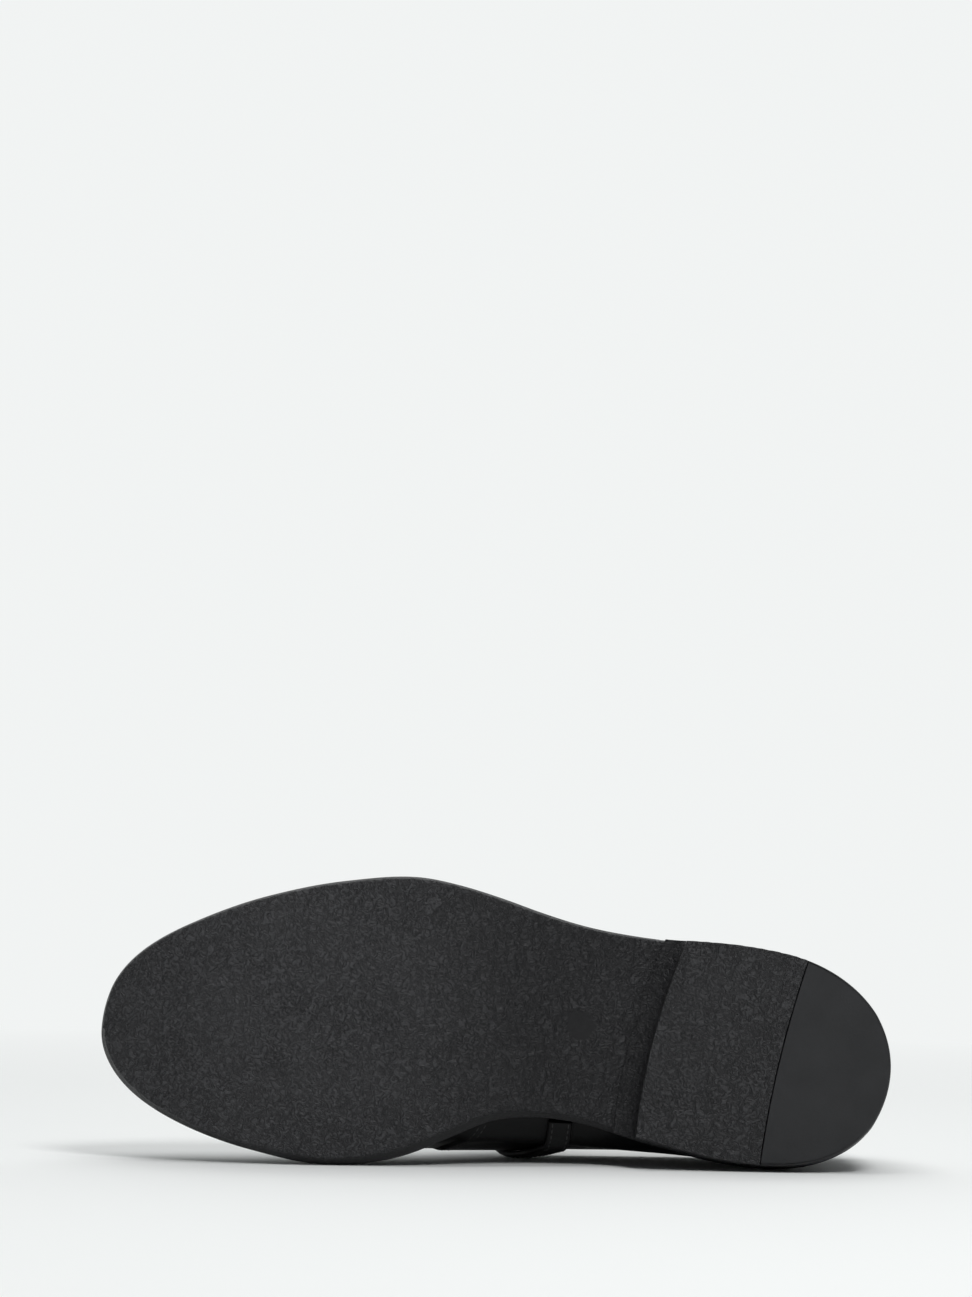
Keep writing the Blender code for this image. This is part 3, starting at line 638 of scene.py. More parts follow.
# Upper: polished black calf over a lining, lasted and cemented to the sole. Two quarters lap
# over the vamp, whose back end is the tongue, and a strip covers their seam at the heel.
WALL = 2 * MM
FEATHER_INSET = 2.6 * MM
TONGUE_HEIGHT = 80 * MM
BACK_HEIGHT = 62 * MM
OUTER_SIDE_HEIGHT = 48 * MM
INNER_SIDE_HEIGHT = 50 * MM
AROUND = 720
OUTER_ROWS = 84
LIP_ROWS = 6
INNER_ROWS = 24
QUARTER_LAP = 0.8 * MM
STRIP_LAP = 0.45 * MM
STRIP_HALF = 8 * MM
STRIP_SPREAD = 0.02
EDGE_ROLL = 0.35 * MM
FEATHER_TUCK = 0.54 * MM
BEND_SPAN = 50 * MM
SLICES = (
    # height share, back, front, outer halves at .1 .3 .5 .7 .9, inner halves at the same
    (0.12, 0.005, 0.989, (0.455, 0.525, 0.712, 0.524, 0.354), (0.426, 0.410, 0.432, 0.396, 0.286)),
    (0.26, 0.003, 0.955, (0.437, 0.507, 0.652, 0.488, 0.330), (0.406, 0.420, 0.453, 0.368, 0.262)),
    (0.42, 0.008, 0.835, (0.400, 0.464, 0.545, 0.395, 0.268), (0.368, 0.402, 0.460, 0.338, 0.222)),
    (0.57, 0.017, 0.690, (0.350, 0.411, 0.480, 0.336, 0.236), (0.338, 0.384, 0.437, 0.316, 0.210)),
    (0.71, 0.027, 0.605, (0.310, 0.370, 0.433, 0.290, 0.192), (0.304, 0.356, 0.408, 0.280, 0.180)),
    (0.86, 0.034, 0.520, (0.286, 0.335, 0.390, 0.246, 0.157), (0.280, 0.325, 0.375, 0.240, 0.152)),
    (1.00, 0.040, 0.440, (0.265, 0.300, 0.345, 0.210, 0.135), (0.262, 0.295, 0.335, 0.206, 0.131)),
)
PLACES = (0.1, 0.3, 0.5, 0.7, 0.9)
PLACE_WIDTHS = (HEEL_WIDTH, HEEL_WIDTH, WAIST_WIDTH, BALL_WIDTH, BALL_WIDTH)
TOP_LINE_BACK = 0.1
TOP_LINE = (
    # place along the slice, share of the way up from the back's or the side's height to the tongue
    (0.00, 0.00),
    (0.06, -0.07),
    (0.30, 0.00),
    (0.50, 0.03),
    (0.64, 0.08),
    (0.75, 0.27),
    (0.84, 0.54),
    (0.91, 0.76),
    (0.96, 0.90),
    (1.00, 1.00),
)
QUARTER_EDGE = (
    # share of the sole's length, height over the sole
    (0.515, 0 * MM),
    (0.543, 15 * MM),
    (0.567, 30 * MM),
    (0.577, 40 * MM),
    (0.568, 48 * MM),
    (0.540, 53 * MM),
    (0.500, 56 * MM),
    (0.450, 58 * MM),
    (0.400, 59 * MM),
)
CREASES = (
    # x at the middle, y at the middle, half length across, bend, depth, half width
    (0.636, 0.012, 0.022, 0.02, 0.30 * MM, 2.4 * MM),
    (0.662, 0.001, 0.034, 0.09, 0.65 * MM, 3.0 * MM),
    (0.694, 0.009, 0.041, 0.20, 0.85 * MM, 3.8 * MM),
    (0.731, -0.002, 0.026, 0.30, 0.40 * MM, 3.0 * MM),
)


def slice_ends(height):
    """Back and front of the last's slice at a height over the sole."""
    heights = np.append(0.0, column(SLICES, 0) * TONGUE_HEIGHT)
    back = np.append(FEATHER_INSET, column(SLICES, 1) * SOLE_LENGTH)
    front = np.append(SOLE_LENGTH - FEATHER_INSET, column(SLICES, 2) * SOLE_LENGTH)
    return through(heights, back, height), through(heights, front, height)


def on_last(place, side, height):
    """Points on the last: shares along its slices, sides (1 outer, -1 inner) and heights."""
    place, side, height = np.broadcast_arrays(*map(np.atleast_1d, (place, side, height)))
    turn = turn_of(place)
    places = turn_of(np.array(PLACES))
    heights = np.append(0.0, column(SLICES, 0) * TONGUE_HEIGHT)
    widths = np.zeros(len(place))
    for sign in (1, -1):
        here = side == sign
        table = [outline_fullness(place[here], sign) - FEATHER_INSET]
        for row in SLICES:
            halves = np.array(row[3 if sign > 0 else 4]) * PLACE_WIDTHS
            table.append(through(places, halves / np.sin(places), turn[here]))
        widths[here] = through(heights, np.array(table), height[here])
    back, front = slice_ends(height)
    x = back + place * (front - back)
    return np.stack([x, side * widths * np.sin(turn), sole_top(x) + GAP + height], axis=-1)


def top_line(place, side):
    """Height of the upper's edge over the sole."""
    at_side = np.where(side > 0, OUTER_SIDE_HEIGHT, INNER_SIDE_HEIGHT)[:, None]
    base = np.where(column(TOP_LINE, 0) < TOP_LINE_BACK, BACK_HEIGHT, at_side)
    heights = base + column(TOP_LINE, 1) * (TONGUE_HEIGHT - base)
    return through(turn_of(column(TOP_LINE, 0)), heights.T, turn_of(place), level_ends=True)


def edge_line(table, count):
    """A smooth line of (x, height) points through a table of shares and heights."""
    knots = np.arange(len(table))
    at = np.linspace(0, len(table) - 1, count)
    return np.stack([through(knots, column(table, 0) * SOLE_LENGTH, at),
                     through(knots, column(table, 1), at)], axis=1)


def inside_edge(x, height):
    """Signed distance in from the quarter's edge: positive on the quarter, negative on the vamp."""
    line = edge_line(QUARTER_EDGE, 90)
    points = np.stack([x.ravel(), height.ravel()], axis=1)
    nearest = np.full(len(points), np.inf)
    for a, b in zip(line, line[1:]):
        along = np.clip((points - a) @ (b - a) / ((b - a) @ (b - a)), 0, 1)
        away = np.linalg.norm(points - a - along[:, None] * (b - a), axis=1)
        nearest = np.minimum(nearest, away)
    back, low, high = -0.1, -0.1, 0.3
    behind = [(line[-1, 0], high), (back, high), (back, low)]
    fence = np.concatenate([[(line[0, 0], low)], line, behind])
    inside = np.zeros(len(points), bool)
    for a, b in zip(fence, np.roll(fence, -1, axis=0)):
        if a[1] == b[1]:
            continue
        crosses = (points[:, 1] < a[1]) != (points[:, 1] < b[1])
        reach = a[0] + (points[:, 1] - a[1]) / (b[1] - a[1]) * (b[0] - a[0])
        inside ^= crosses & (points[:, 0] < reach)
    return np.where(inside, nearest, -nearest).reshape(x.shape)


def smooth_step(value, low, high):
    t = np.clip((value - low) / (high - low), 0, 1)
    return 3 * t**2 - 2 * t**3


def crease_relief(points):
    """Walking creases over the vamp: soft troughs with a low ridge on each side."""
    relief = np.zeros(points.shape[:-1])
    for x0, y0, half, bend, depth, width in CREASES:
        off = points[..., 1] - y0
        centre = x0 * SOLE_LENGTH - bend * off**2 / BEND_SPAN
        away = (points[..., 0] - centre) / width
        reach = smooth_step(half - np.abs(off), 0, half * 0.7)
        ridges = 0.45 * np.exp(-((np.abs(away) - 2.0) / 0.9)**2)
        relief += depth * reach * (ridges - np.exp(-away**2))
    return relief


def normals_of(grid):
    """Outward normals of a closed grid whose columns run round clockwise and rows run up."""
    around = np.roll(grid, -1, axis=1) - np.roll(grid, 1, axis=1)
    return unit(np.cross(np.gradient(grid, axis=0), around))


def upper_faces():
    """The outer and inner face of the upper as grids of points, with all laps and creases."""
    place, side = round_trip(AROUND // 2)
    top = top_line(place, side)
    rows = 1 - (1 - np.linspace(0, 1, OUTER_ROWS + 1))**1.15
    smooth = np.array([on_last(place, side, top * row) for row in rows])
    height = top[None, :] * rows[:, None]
    normal = normals_of(smooth)
    normal[0, :, 2] = 0
    normal[0] = unit(normal[0])
    inside = inside_edge(smooth[..., 0], height)
    lap = -QUARTER_LAP * (1 - smooth_step(inside, -1.0 * MM, 0.7 * MM))
    strip = STRIP_HALF + height * STRIP_SPREAD - np.abs(smooth[..., 1])
    at_back = smooth_step(0.1 * SOLE_LENGTH - smooth[..., 0], 0, 2 * MM)
    lap += STRIP_LAP * smooth_step(strip, -0.5 * MM, 0.2 * MM) * at_back
    below_edge = top[None, :] - height
    lap += EDGE_ROLL * np.exp(-((below_edge - 2.2 * MM) / (1.6 * MM))**2)
    lap -= 0.25 * MM * np.exp(-((below_edge - 5.2 * MM) / (0.8 * MM))**2)
    lap -= FEATHER_TUCK * np.exp(-(height / (1.8 * MM))**2)
    creases = crease_relief(smooth) * smooth_step(normal[..., 2], 0.25, 0.6)
    outer = smooth + normal * (lap + creases)[..., None]
    inner = smooth - normal * WALL
    return outer, inner


upper_outer, upper_inner = upper_faces()


def upper_rings():
    """Rings of points over the outer face and the folded edge, and rings down the lining."""
    run = unit(upper_outer[-1] - upper_outer[-2])
    middle = (upper_outer[-1] + upper_inner[-1]) / 2
    across = (upper_outer[-1] - upper_inner[-1]) / 2
    lip = [middle + across * math.cos(t) + run * WALL * 0.42 * math.sin(t)
           for t in np.linspace(0, np.pi, LIP_ROWS + 2)[1:-1]]
    keep = np.round(np.linspace(OUTER_ROWS, 0, INNER_ROWS + 1)).astype(int)
    lining = list(upper_inner[keep])
    return list(upper_outer) + lip + lining[:2], lining[1:] + [upper_outer[0]]


def make_grain_group():
    """Fine calf grain: Height for a bump, with pebbles, pores and a soft unevenness."""
    tree, given, put = new_group("grain", (("Size", 0.7 * MM), ("Pores", 0.5)),
                                 (("Height", "NodeSocketFloat"), ("Tone", "NodeSocketFloat")))
    place = node(tree, "ShaderNodeTexCoord").outputs["Object"]
    scale = math_node(tree, "DIVIDE", 1.0, given.outputs["Size"])
    cells = node(tree, "ShaderNodeTexVoronoi", {"Vector": place, "Scale": scale},
                 feature="SMOOTH_F1").outputs["Distance"]
    pebbles = remap(tree, cells, 0.1, 0.7, 1.0, 0.0)
    soft = object_noise(tree, 6 * MM, detail=3.0)
    pores = remap(tree, object_noise(tree, 0.35 * MM, detail=1.0), 0.30, 0.42)
    pores = math_node(tree, "MULTIPLY", math_node(tree, "SUBTRACT", pores, 1.0),
                      given.outputs["Pores"])
    height = math_node(tree, "ADD", math_node(tree, "MULTIPLY", pebbles, 0.5),
                       math_node(tree, "ADD", math_node(tree, "MULTIPLY", soft, 0.6), pores))
    tree.links.new(height, put.inputs["Height"])
    tree.links.new(soft, put.inputs["Tone"])
    return tree


GRAIN = make_grain_group()


def leather(name, dark, pale, scuffed, rough, depth, coat):
    """Dyed leather with grain, a little scuffing and a polish."""
    made, tree, shader = new_material(name)
    grain = group_node(tree, GRAIN, size=0.75 * MM, pores=0.4)
    scuffs = group_node(tree, SCUFFS, size=18 * MM, amount=0.45)
    colour = blend(tree, grain.outputs["Tone"], dark, pale)
    dress(tree, shader, blend(tree, scuffs.outputs["Mask"], colour, scuffed),
          remap(tree, scuffs.outputs["Mask"], 0.0, 0.5, rough, rough + 0.2),
          grain.outputs["Height"], depth, 0.6)
    shader.inputs["Specular IOR Level"].default_value = 0.16
    shader.inputs["Coat Weight"].default_value = coat
    shader.inputs["Coat Roughness"].default_value = 0.16
    return made


calf = leather("black_calf", (0.0016, 0.0016, 0.0018), (0.0030, 0.0030, 0.0033),
               (0.008, 0.008, 0.009), 0.40, 0.07 * MM, 0.08)
lining_leather = leather("lining_leather", (0.16, 0.115, 0.075), (0.20, 0.145, 0.10),
                         (0.12, 0.085, 0.055), 0.55, 0.05 * MM, 0.0)
upper = bmesh.new()
shell_rings, lining_rings = upper_rings()
drape(upper, closed(shell_rings))
drape(upper, closed(lining_rings), material=1)
welded(upper)
upper_tree = BVHTree.FromBMesh(upper)
settle(upper, "upper_shell", ["upper"], [calf, lining_leather])

# Stitching: waxed black thread, two rows along each quarter's edge, one row under the top line
# and one along each side of the heel strip. Each stitch is half sunk into the leather.
STITCH_LENGTH = 2.1 * MM
STITCH_PITCH = 2.9 * MM
THREAD = 0.55 * MM
QUARTER_ROWS = (1.8 * MM, 3.9 * MM)
TOP_ROW = 4.6 * MM
STRIP_ROW = 1.4 * MM


def length_along(points):
    """Length of a line of points up to each of them."""
    return np.append(0, np.cumsum(np.linalg.norm(np.diff(points, axis=0), axis=1)))


def read_line(at, length, values):
    """Values of a line's points, read at lengths along it."""
    return np.stack([np.interp(at, length, values[:, k]) for k in range(3)], axis=-1)


def sew(mesh, points, normals):
    """Stitches at an even pitch along a line of points that has its surface's normals."""
    length = length_along(points)
    for at in np.arange(STITCH_PITCH / 2, length[-1], STITCH_PITCH):
        ends = [read_line(at + sign * STITCH_LENGTH / 2, length, points) for sign in (-1, 1)]
        along = Vector(ends[1] - ends[0])
        if along.length < STITCH_LENGTH / 3:
            continue
        along.normalize()
        out = Vector(read_line(at, length, normals))
        across = along.cross(out).normalized()
        out = across.cross(along)
        turn = Matrix((across, out, along)).transposed().to_4x4()
        middle = Vector((ends[0] + ends[1]) / 2) + out * THREAD * 0.1
        shape = Matrix.Diagonal((THREAD / 2, THREAD / 2.4, STITCH_LENGTH / 2, 1))
        bmesh.ops.create_uvsphere(mesh, u_segments=6, v_segments=5, radius=1,
                                  matrix=Matrix.Translation(middle) @ turn @ shape)


def sew_on_upper(mesh, places, side, heights):
    """A row of stitches on the upper through places along the last and heights."""
    points, normals = [], []
    for point in on_last(places, side, heights):
        hit, normal, _, _ = upper_tree.find_nearest(Vector(point))
        points.append(hit)
        normals.append(normal)
    sew(mesh, np.array(points), np.array(normals))


def quarter_row(inset):
    """A line (x, height) that runs inside the quarter's edge."""
    line = edge_line(QUARTER_EDGE, 80)
    run = unit(np.gradient(line, axis=0))
    return line + np.stack([-run[:, 1], run[:, 0]], axis=1) * inset


def shares_of(x, height):
    back, front = slice_ends(height)
    return (x - back) / (front - back)


thread_material, tree, shader = new_material("waxed_thread")
twist = object_noise(tree, 0.5 * MM, detail=2.0)
dress(tree, shader, blend(tree, twist, (0.010, 0.010, 0.010), (0.030, 0.030, 0.031)),
      remap(tree, twist, 0.3, 0.7, 0.45, 0.65), twist, 0.1 * MM, 0.5)
stitches = bmesh.new()
for side in (1, -1):
    for inset in QUARTER_ROWS:
        line = quarter_row(inset)
        places = shares_of(line[:, 0], line[:, 1])
        under_top = top_line(places, np.full(len(places), side)) - TOP_ROW - 1.5 * MM
        keep = (line[:, 1] > 2.5 * MM) & (line[:, 1] < under_top) & (places < 1)
        sew_on_upper(stitches, places[keep], side, line[keep, 1])
    places = (1 - np.cos(np.linspace(0.12, np.pi - 0.03, 160))) / 2
    sew_on_upper(stitches, places, side, top_line(places, np.full(160, side)) - TOP_ROW)
    heights = np.linspace(3 * MM, BACK_HEIGHT - TOP_ROW, 40)
    strip_edge = STRIP_HALF + heights * STRIP_SPREAD - STRIP_ROW
    places = []
    for height, reach in zip(heights, strip_edge):
        trial = np.linspace(0, 0.12, 200)
        places.append(np.interp(reach, np.abs(on_last(trial, side, height)[:, 1]), trial))
    sew_on_upper(stitches, np.array(places), side, heights)
settle(stitches, "upper_stitching", [], [thread_material])

# Insole: a leather-covered board inside the shoe, tucked under the lining's edge, with a
# padded heel seat that is marked by a line of stitching.
INSOLE_THICKNESS = 3 * MM
INSOLE_CLEARANCE = 1.2 * MM
SEAT_HALF = 24 * MM
SEAT_FRONT = 88 * MM
SEAT_BOW = 9 * MM


def insole_ring(height, inset):
    loop = on_last(*round_trip(160), height)
    inside = moved_in(loop[:, :2], WALL + INSOLE_CLEARANCE + inset)
    return np.column_stack([inside, sole_top(inside[:, 0]) + GAP + height])


insole = bmesh.new()
insole_rings = [insole_ring(0, 0), insole_ring(INSOLE_THICKNESS - 0.8 * MM, 0),
                insole_ring(INSOLE_THICKNESS - 0.25 * MM, 0.25 * MM),
                insole_ring(INSOLE_THICKNESS, 0.9 * MM)]
drape(insole, closed(insole_rings))
drape(insole, across_ring(insole_rings[0], 4))
drape(insole, across_ring(insole_rings[-1], 40))
welded(insole)
settle(insole, "insole_board", ["insole"], [lining_leather])
seat_y = np.linspace(-SEAT_HALF, SEAT_HALF, 40)
seat_x = SEAT_FRONT + SEAT_BOW * (1 - (seat_y / SEAT_HALF)**2)
seat_line = np.stack([seat_x, seat_y, sole_top(seat_x) + GAP + INSOLE_THICKNESS], axis=1)
seat_stitches = bmesh.new()
sew(seat_stitches, seat_line, np.tile([0.0, 0.0, 1.0], (40, 1)))
settle(seat_stitches, "insole_stitching", [], [thread_material])

# Strap: a folded and stitched band of the same calf. It rises from the inner feather line,
# crosses the tongue and passes through the buckle. A slot lets the prong through, and the
# tail is cut square.
STRAP_WIDTH = 9 * MM
STRAP_THICKNESS = 2.4 * MM
STRAP_FOOT = 123 * MM
STRAP_CROSSING = 160 * MM
FOOT_CLEARANCE = 2.5 * MM
TAB_THICKNESS = 1.4 * MM
BUCKLE_WIRE = 2 * MM
BUCKLE_SIDE_ROOM = 0.8 * MM
BUCKLE_CORNER = 3 * MM
FRONT_BAR = 34 * MM
HEEL_BAR = FRONT_BAR + 15 * MM
PRONG_DIAMETER = 1.4 * MM
PRONG_OVERHANG = 1 * MM
TAIL_DROP = 12 * MM
TAIL_LENGTH = 29 * MM
TAIL_UNSEWN = 5 * MM
KEEPER_PLACE = 18 * MM
KEEPER_WIDTH = 6 * MM
KEEPER_THICKNESS = 1.4 * MM
KEEPER_ROOM = 0.5 * MM
CURL_RADIUS = BUCKLE_WIRE / 2 + GAP + TAB_THICKNESS / 2
FRONT_BAR_LIFT = STRAP_THICKNESS + GAP + BUCKLE_WIRE / 2
HEEL_BAR_LIFT = TAB_THICKNESS / 2 + CURL_RADIUS
STRAP_STITCH_INSET = 1.5 * MM
PRONG_SLOT = PRONG_DIAMETER + 2 * GAP


def crossing_height(ahead_of_ridge):
    """The height at which a line that rises along the shoe meets the ridge of the instep."""
    low, high = 0, TONGUE_HEIGHT
    for _ in range(30):
        middle = (low + high) / 2
        low, high = (middle, high) if ahead_of_ridge(middle) > 0 else (low, middle)
    return low


def strap_line(offset):
    """Line of the strap over the last, moved along the shoe by an offset."""
    top = crossing_height(lambda height: float(slice_ends(height)[1]) - STRAP_CROSSING)

    def strap_x(height):
        return STRAP_FOOT + (STRAP_CROSSING - STRAP_FOOT) * (height / top)**2 + offset

    own_top = crossing_height(lambda height: float(slice_ends(height)[1]) - strap_x(height))
    turn = np.linspace(-np.pi / 2, np.pi / 2, 57)
    height = own_top * np.cos(turn)
    places = np.clip(shares_of(strap_x(height), height), 0, 1)
    return on_last(places, np.where(turn > 0, 1, -1), height)


class StrapPath:
    """Directions along the strap: s along it from the crossing, lift out of the upper, across."""

    def __init__(self):
        middle = strap_line(0)
        sides = [strap_line(STRAP_WIDTH / 2 * k) for k in (-1.2, -0.6, 0.6, 1.2)]
        length = length_along(middle)
        self.s = length - length[len(length) // 2]
        self.middle = middle
        along = np.gradient(middle, axis=0)
        self.out = unit(np.cross(sides[3] - sides[0], along))
        self.across = unit(np.cross(along, self.out))
        proud = [np.einsum("ij,ij->i", side - middle, self.out) for side in sides]
        self.proud = np.maximum(0, np.max(proud, axis=0))

    def read(self, values, s):
        return read_line(s, self.s, values)

    def place(self, s, lift, across):
        """Points at lengths along the strap, lifted off the upper and moved across."""
        s, lift, across = np.broadcast_arrays(s, lift, across)
        rise = (lift + GAP + np.interp(s, self.s, self.proud))[..., None]
        return (self.read(self.middle, s) + self.read(self.out, s) * rise
                + self.read(self.across, s) * across[..., None])


def eased(knots, values, at):
    """Level steps between knots, never past the values."""
    left = np.clip(np.searchsorted(knots, at) - 1, 0, len(knots) - 2)
    knots, values = np.asarray(knots), np.asarray(values)
    t = np.clip((at - knots[left]) / (knots[left + 1] - knots[left]), 0, 1)
    return values[left] + (values[left + 1] - values[left]) * (3 * t**2 - 2 * t**3)


def plug(mesh, rings):
    """Drape rings round, weld them and fill the two open ends."""
    drape(mesh, closed(rings))
    welded(mesh)
    bmesh.ops.holes_fill(mesh, edges=mesh.edges, sides=0)


def swept(path, section, fullness=1.0):
    """A section of (across, out) carried along (s, lift) and scaled by its fullness there."""
    fullness = np.broadcast_to(fullness, len(path))[:, None]
    run = unit(np.gradient(path, axis=0))
    across, out = np.array(section).T
    s = path[:, :1] - run[:, 1:] * out * fullness
    lift = path[:, 1:] + run[:, :1] * out * fullness
    mesh = bmesh.new()
    plug(mesh, route.place(s, lift, across * fullness))
    return mesh


def band_section(width, thickness):
    """A flat band with rounded corners, as (across, out) points."""
    soft = thickness * 0.38
    points = []
    for across, out, start in ((1, 1, 0), (-1, 1, 90), (-1, -1, 180), (1, -1, 270)):
        points += [(across * (width / 2 - soft) + soft * math.cos(math.radians(start + turn)),
                    out * (thickness / 2 - soft) + soft * math.sin(math.radians(start + turn)))
                   for turn in (0, 22.5, 45, 67.5, 90)]
    return points


def cut_through(piece, cutter):
    """Cut holes through a piece with a mesh in the shoe's coordinates."""
    bmesh.ops.recalc_face_normals(cutter, faces=cutter.faces)
    data = to_data(cutter, "cutter")
    data.transform(LYING)
    block = put_in_scene("cutter", data)
    hole = piece.modifiers.new("hole", "BOOLEAN")
    hole.operation, hole.solver, hole.object = "DIFFERENCE", "EXACT", block
    graph = bpy.context.evaluated_depsgraph_get()
    cut = bpy.data.meshes.new_from_object(piece.evaluated_get(graph))
    piece.modifiers.clear()
    piece.data = cut
    bpy.data.objects.remove(block, do_unlink=True)


def cut_slot(piece, start, stop, lift):
    """Cut the prong's slot through a band, from one length along the strap to another."""
    half = PRONG_SLOT / 2
    across, out = np.array([(-half, -GAP), (half, -GAP), (half, lift), (-half, lift)]).T
    cutter = bmesh.new()
    plug(cutter, route.place(np.linspace(start, stop, 7)[:, None], out[None], across[None]))
    cut_through(piece, cutter)


def strap_lift(s):
    """Lift of the strap's lower face: on the upper, over the bar, then down on the tab."""
    return eased(knots, (0, over_bar, over_bar, TAB_THICKNESS + GAP), s)


route = StrapPath()
over_bar = HEEL_BAR_LIFT + CURL_RADIUS + TAB_THICKNESS / 2 + GAP
knots = (FRONT_BAR + BUCKLE_WIRE / 2, HEEL_BAR - CURL_RADIUS, HEEL_BAR + CURL_RADIUS,
         HEEL_BAR + TAIL_DROP)
tail = HEEL_BAR + TAIL_LENGTH
lengths = np.concatenate([np.linspace(route.s[0] + FOOT_CLEARANCE, tail - TAIL_UNSEWN, 200),
                          tail - TAIL_UNSEWN * (1 - np.sin(np.linspace(0, np.pi / 2, 14)[1:]))])
strap_path = np.stack([lengths, strap_lift(lengths) + STRAP_THICKNESS / 2], axis=1)
strap = swept(strap_path, band_section(STRAP_WIDTH, STRAP_THICKNESS))
strap_piece = settle(strap, "strap_band", ["strap"], [calf])
cut_slot(strap_piece, FRONT_BAR + BUCKLE_WIRE, HEEL_BAR - BUCKLE_WIRE, 3 * over_bar)

# Tab and keeper: calf as well. The tab rises from the outer feather line and is folded round
# the buckle's bar, and the loop of the keeper holds the strap's tail down on it.
def curl(centre, radius, start, stop, count=25):
    """Arc of (s, lift) points round a bar, angles in degrees."""
    turns = np.radians(np.linspace(start, stop, count))
    return np.array(centre) + radius * np.stack([np.cos(turns), np.sin(turns)], axis=1)


foot = route.s[-1] - FOOT_CLEARANCE
tab_run = np.linspace(foot, HEEL_BAR + CURL_RADIUS / 2, 60)
tab_path = np.concatenate([np.stack([tab_run, np.full(60, TAB_THICKNESS / 2)], axis=1),
                           curl((HEEL_BAR, HEEL_BAR_LIFT), CURL_RADIUS, -90, -320)])
tab = swept(tab_path, band_section(STRAP_WIDTH, TAB_THICKNESS))
tab_piece = settle(tab, "tab", ["buckle_tab"], [calf])
reach = CURL_RADIUS + TAB_THICKNESS
cut_slot(tab_piece, HEEL_BAR - reach, HEEL_BAR + reach, 4 * CURL_RADIUS)

inner_half = STRAP_WIDTH / 2 + KEEPER_ROOM
inner_top = TAB_THICKNESS + GAP + STRAP_THICKNESS + GAP
outer_half = inner_half + KEEPER_THICKNESS
outer_top = inner_top + KEEPER_THICKNESS
round_off = KEEPER_THICKNESS
arch = [(-outer_half, 0)]
arch += [(-outer_half + round_off * (1 - math.cos(t)), outer_top - round_off * (1 - math.sin(t)))
         for t in np.linspace(0, math.pi / 2, 7)]
arch += [(outer_half - round_off * (1 - math.sin(t)), outer_top - round_off * (1 - math.cos(t)))
         for t in np.linspace(0, math.pi / 2, 7)]
arch += [(outer_half, 0), (inner_half, 0), (inner_half, inner_top), (-inner_half, inner_top),
         (-inner_half, 0)]
arch = np.array(arch)
keeper = bmesh.new()
keeper_run = (np.linspace(-0.5, 0.5, 7) * KEEPER_WIDTH + HEEL_BAR + KEEPER_PLACE)[:, None]
plug(keeper, route.place(keeper_run, arch[:, 1][None], arch[:, 0][None]))
keeper_piece = settle(keeper, "keeper_loop", ["keeper"], [calf])
soft_edge = keeper_piece.modifiers.new("soft_edge", "BEVEL")
soft_edge.width, soft_edge.segments, soft_edge.limit_method = 0.22 * MM, 2, "ANGLE"

strap_stitches = bmesh.new()
for row in (-1, 1):
    sewn = lengths[lengths < tail - TAIL_UNSEWN]
    line = route.place(sewn, strap_lift(sewn) + STRAP_THICKNESS,
                       row * (STRAP_WIDTH / 2 - STRAP_STITCH_INSET))
    sew(strap_stitches, line, route.read(route.out, sewn))
settle(strap_stitches, "strap_stitching", [], [thread_material])

# Buckle: nickelled steel wire, a round-cornered frame with a prong hooked on its heel bar.
# The plating is polished, with fine scratches and duller patches.
front_bar = route.place(FRONT_BAR, FRONT_BAR_LIFT, 0.0)
heel_bar = route.place(HEEL_BAR, HEEL_BAR_LIFT, 0.0)
forward = unit(front_bar - heel_bar)
across_bar = route.read(route.across, HEEL_BAR)
across_bar = unit(across_bar - forward * across_bar.dot(forward))
out_of_buckle = np.cross(forward, across_bar)
half_depth = np.linalg.norm(front_bar - heel_bar) / 2
half_span = STRAP_WIDTH / 2 + BUCKLE_SIDE_ROOM + BUCKLE_WIRE / 2
wire_rings = []
for along_sign, across_sign, start in ((1, 1, 0), (-1, 1, 90), (-1, -1, 180), (1, -1, 270)):
    knee = (front_bar + heel_bar) / 2 + forward * along_sign * (half_depth - BUCKLE_CORNER)
    knee = knee + across_bar * across_sign * (half_span - BUCKLE_CORNER)
    for turn in np.radians(np.linspace(start, start + 90, 14)):
        ray = forward * math.cos(turn) + across_bar * math.sin(turn)
        wire_rings.append([knee + ray * BUCKLE_CORNER
                           + (ray * math.cos(a) + out_of_buckle * math.sin(a)) * BUCKLE_WIRE / 2
                           for a in np.arange(20) * math.pi / 10])

nickel, tree, shader = new_material("nickel_plate")
scratches = group_node(tree, SCUFFS, size=3 * MM, amount=1.0)
scratched = scratches.outputs["Mask"]
dress(tree, shader, blend(tree, scratched, (0.60, 0.59, 0.57), (0.42, 0.41, 0.40)),
      remap(tree, scratched, 0.0, 1.0, 0.14, 0.42), scratched, 0.02 * MM, 0.3)
shader.inputs["Metallic"].default_value = 1.0
buckle = bmesh.new()
drape(buckle, closed(wire_rings + wire_rings[:1]))
welded(buckle)
settle(buckle, "buckle_wire_frame", ["buckle_frame"], [nickel])

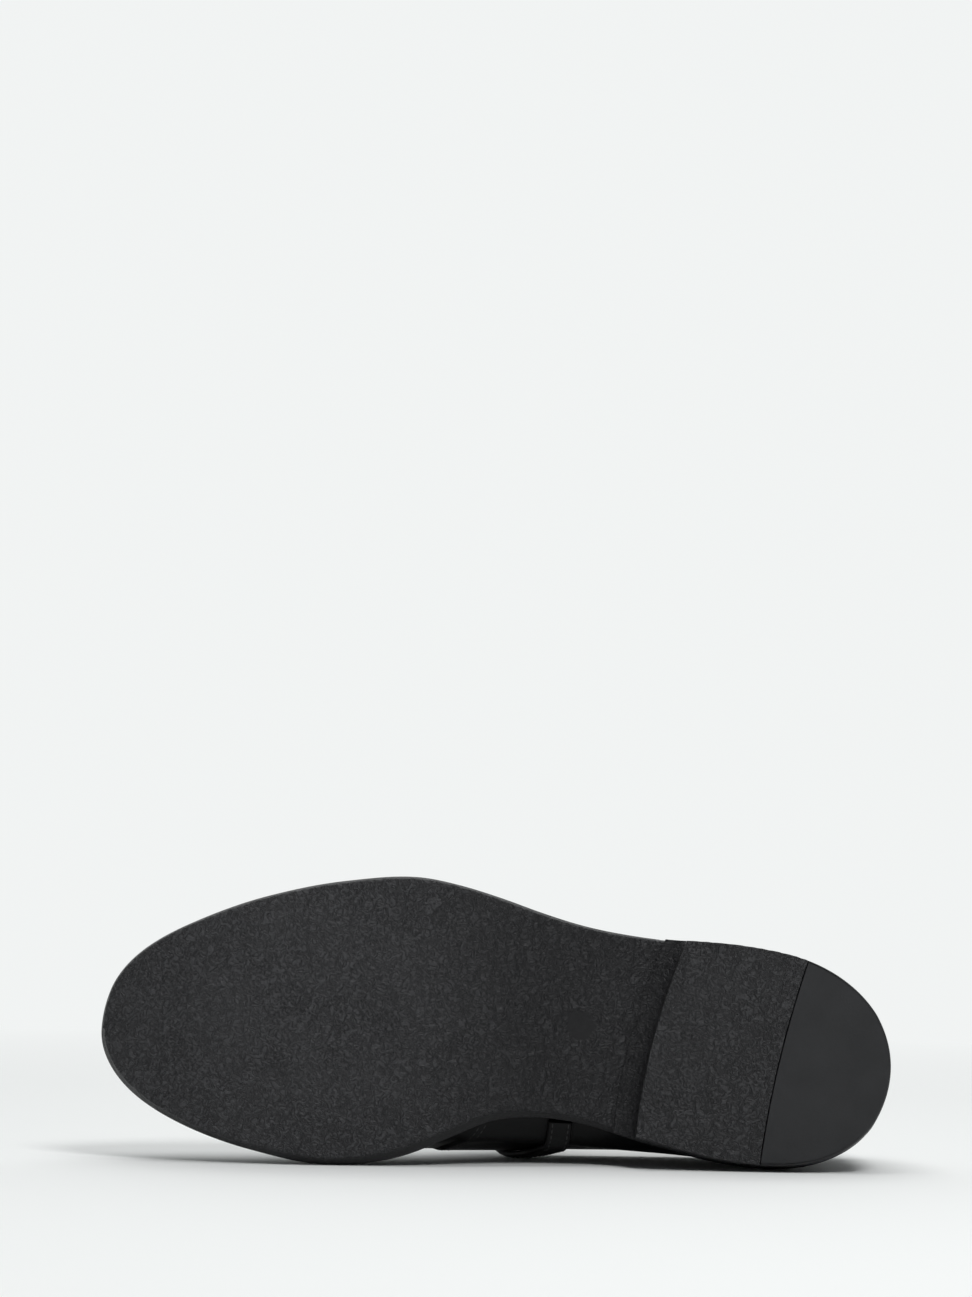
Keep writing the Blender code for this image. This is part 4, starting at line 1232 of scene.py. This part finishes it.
hook = BUCKLE_WIRE / 2 + GAP + PRONG_DIAMETER / 2
hook_path = curl((HEEL_BAR, HEEL_BAR_LIFT), hook, 150, -120, 30)
rest = FRONT_BAR_LIFT + BUCKLE_WIRE / 2 + GAP + PRONG_DIAMETER / 2
share = np.linspace(0.05, 1, 30)
from_s, from_lift = hook_path[-1]
shank = np.stack([from_s + share * (FRONT_BAR - PRONG_OVERHANG - from_s),
                  from_lift + (rest - from_lift) * np.sin(share * math.pi / 2)], axis=1)
prong_path = np.concatenate([hook_path, shank])
prong_length = length_along(prong_path)
to_tip = np.clip((prong_length[-1] - prong_length) / (PRONG_DIAMETER / 2), 0.02, 1)
prong_section = [(PRONG_DIAMETER / 2 * math.cos(a), PRONG_DIAMETER / 2 * math.sin(a))
                 for a in np.arange(16) * math.pi / 8]
prong = swept(prong_path, prong_section, np.sqrt(1 - (1 - to_tip)**2))
settle(prong, "buckle_prong_pin", ["buckle_prong"], [nickel])

# Camera: level with the shoe and in front of its sole, a long lens from nearly two metres,
# looking slightly up so that the shoe lies low in the picture.
LENS_TO_PICTURE = 4669.1 / 1297
camera_data = bpy.data.cameras.new("camera")
camera_data.lens = LENS_TO_PICTURE * camera_data.sensor_width
camera_data.clip_end = 50
camera = put_in_scene("camera", camera_data)
bpy.context.scene.camera = camera
camera.location = (-0.00615, -1.79794, 0.13978)
look = Vector((-0.006024, 0, 0.195655)) - camera.location
roll = Matrix.Rotation(math.radians(0.928), 4, "Z")
camera.rotation_euler = (look.to_track_quat("-Z", "Y").to_matrix().to_4x4() @ roll).to_euler()

# Studio: a white sweep that is evenly bright far from the shoe, and soft boxes above it.
stage_material, tree, shader = new_material("white_sweep")
shader.inputs["Base Color"].default_value = (0.89, 0.905, 0.90, 1)
shader.inputs["Roughness"].default_value = 0.9
shader.inputs["Specular IOR Level"].default_value = 0.1
far = node(tree, "ShaderNodeVectorMath", {0: node(tree, "ShaderNodeTexCoord").outputs["Object"]},
           operation="LENGTH").outputs["Value"]
glow = node(tree, "ShaderNodeEmission", {"Color": (0.882, 0.900, 0.896, 1), "Strength": 1.0})
mixed = node(tree, "ShaderNodeMixShader", {0: remap(tree, far, 0.45, 0.95), 1: shader.outputs[0],
                                           2: glow.outputs[0]})
tree.links.new(mixed.outputs[0], tree.nodes["Material Output"].inputs["Surface"])
sweep = bmesh.new()
profile = [(-3, 0)] + [(y, 0) for y in np.linspace(-1.5, 1.5, 25)]
profile += [(1.5 + math.sin(t), 1 - math.cos(t)) for t in np.linspace(0.1, math.pi / 2, 12)]
profile += [(2.5, 4)]
drape(sweep, np.array([[(x, y, z) for x in np.linspace(-4, 4, 33)] for y, z in profile]))
sweep_data = to_data(sweep, "sweep")
sweep_data.materials.append(stage_material)
sweep_data.shade_smooth()
put_in_scene("sweep", sweep_data)


def soft_box(name, place, aim, size, power):
    light = bpy.data.lights.new(name, "AREA")
    light.shape = "SQUARE"
    light.size = size
    light.energy = power
    item = put_in_scene(name, light)
    item.location = place
    item.rotation_euler = (Vector(aim) - Vector(place)).to_track_quat("-Z", "Y").to_euler()


soft_box("top_box", (0, 0.35, 2.2), (0, 0.05, 0), 2.2, 30)
soft_box("front_box", (0.45, -1.1, 1.4), (0, 0, 0.05), 0.5, 12)
world = bpy.data.worlds.new("studio")
bpy.context.scene.world = world
world.use_nodes = True
world.node_tree.nodes["Background"].inputs["Color"].default_value = (0.10, 0.104, 0.106, 1)
bpy.context.scene.view_settings.view_transform = "Standard"
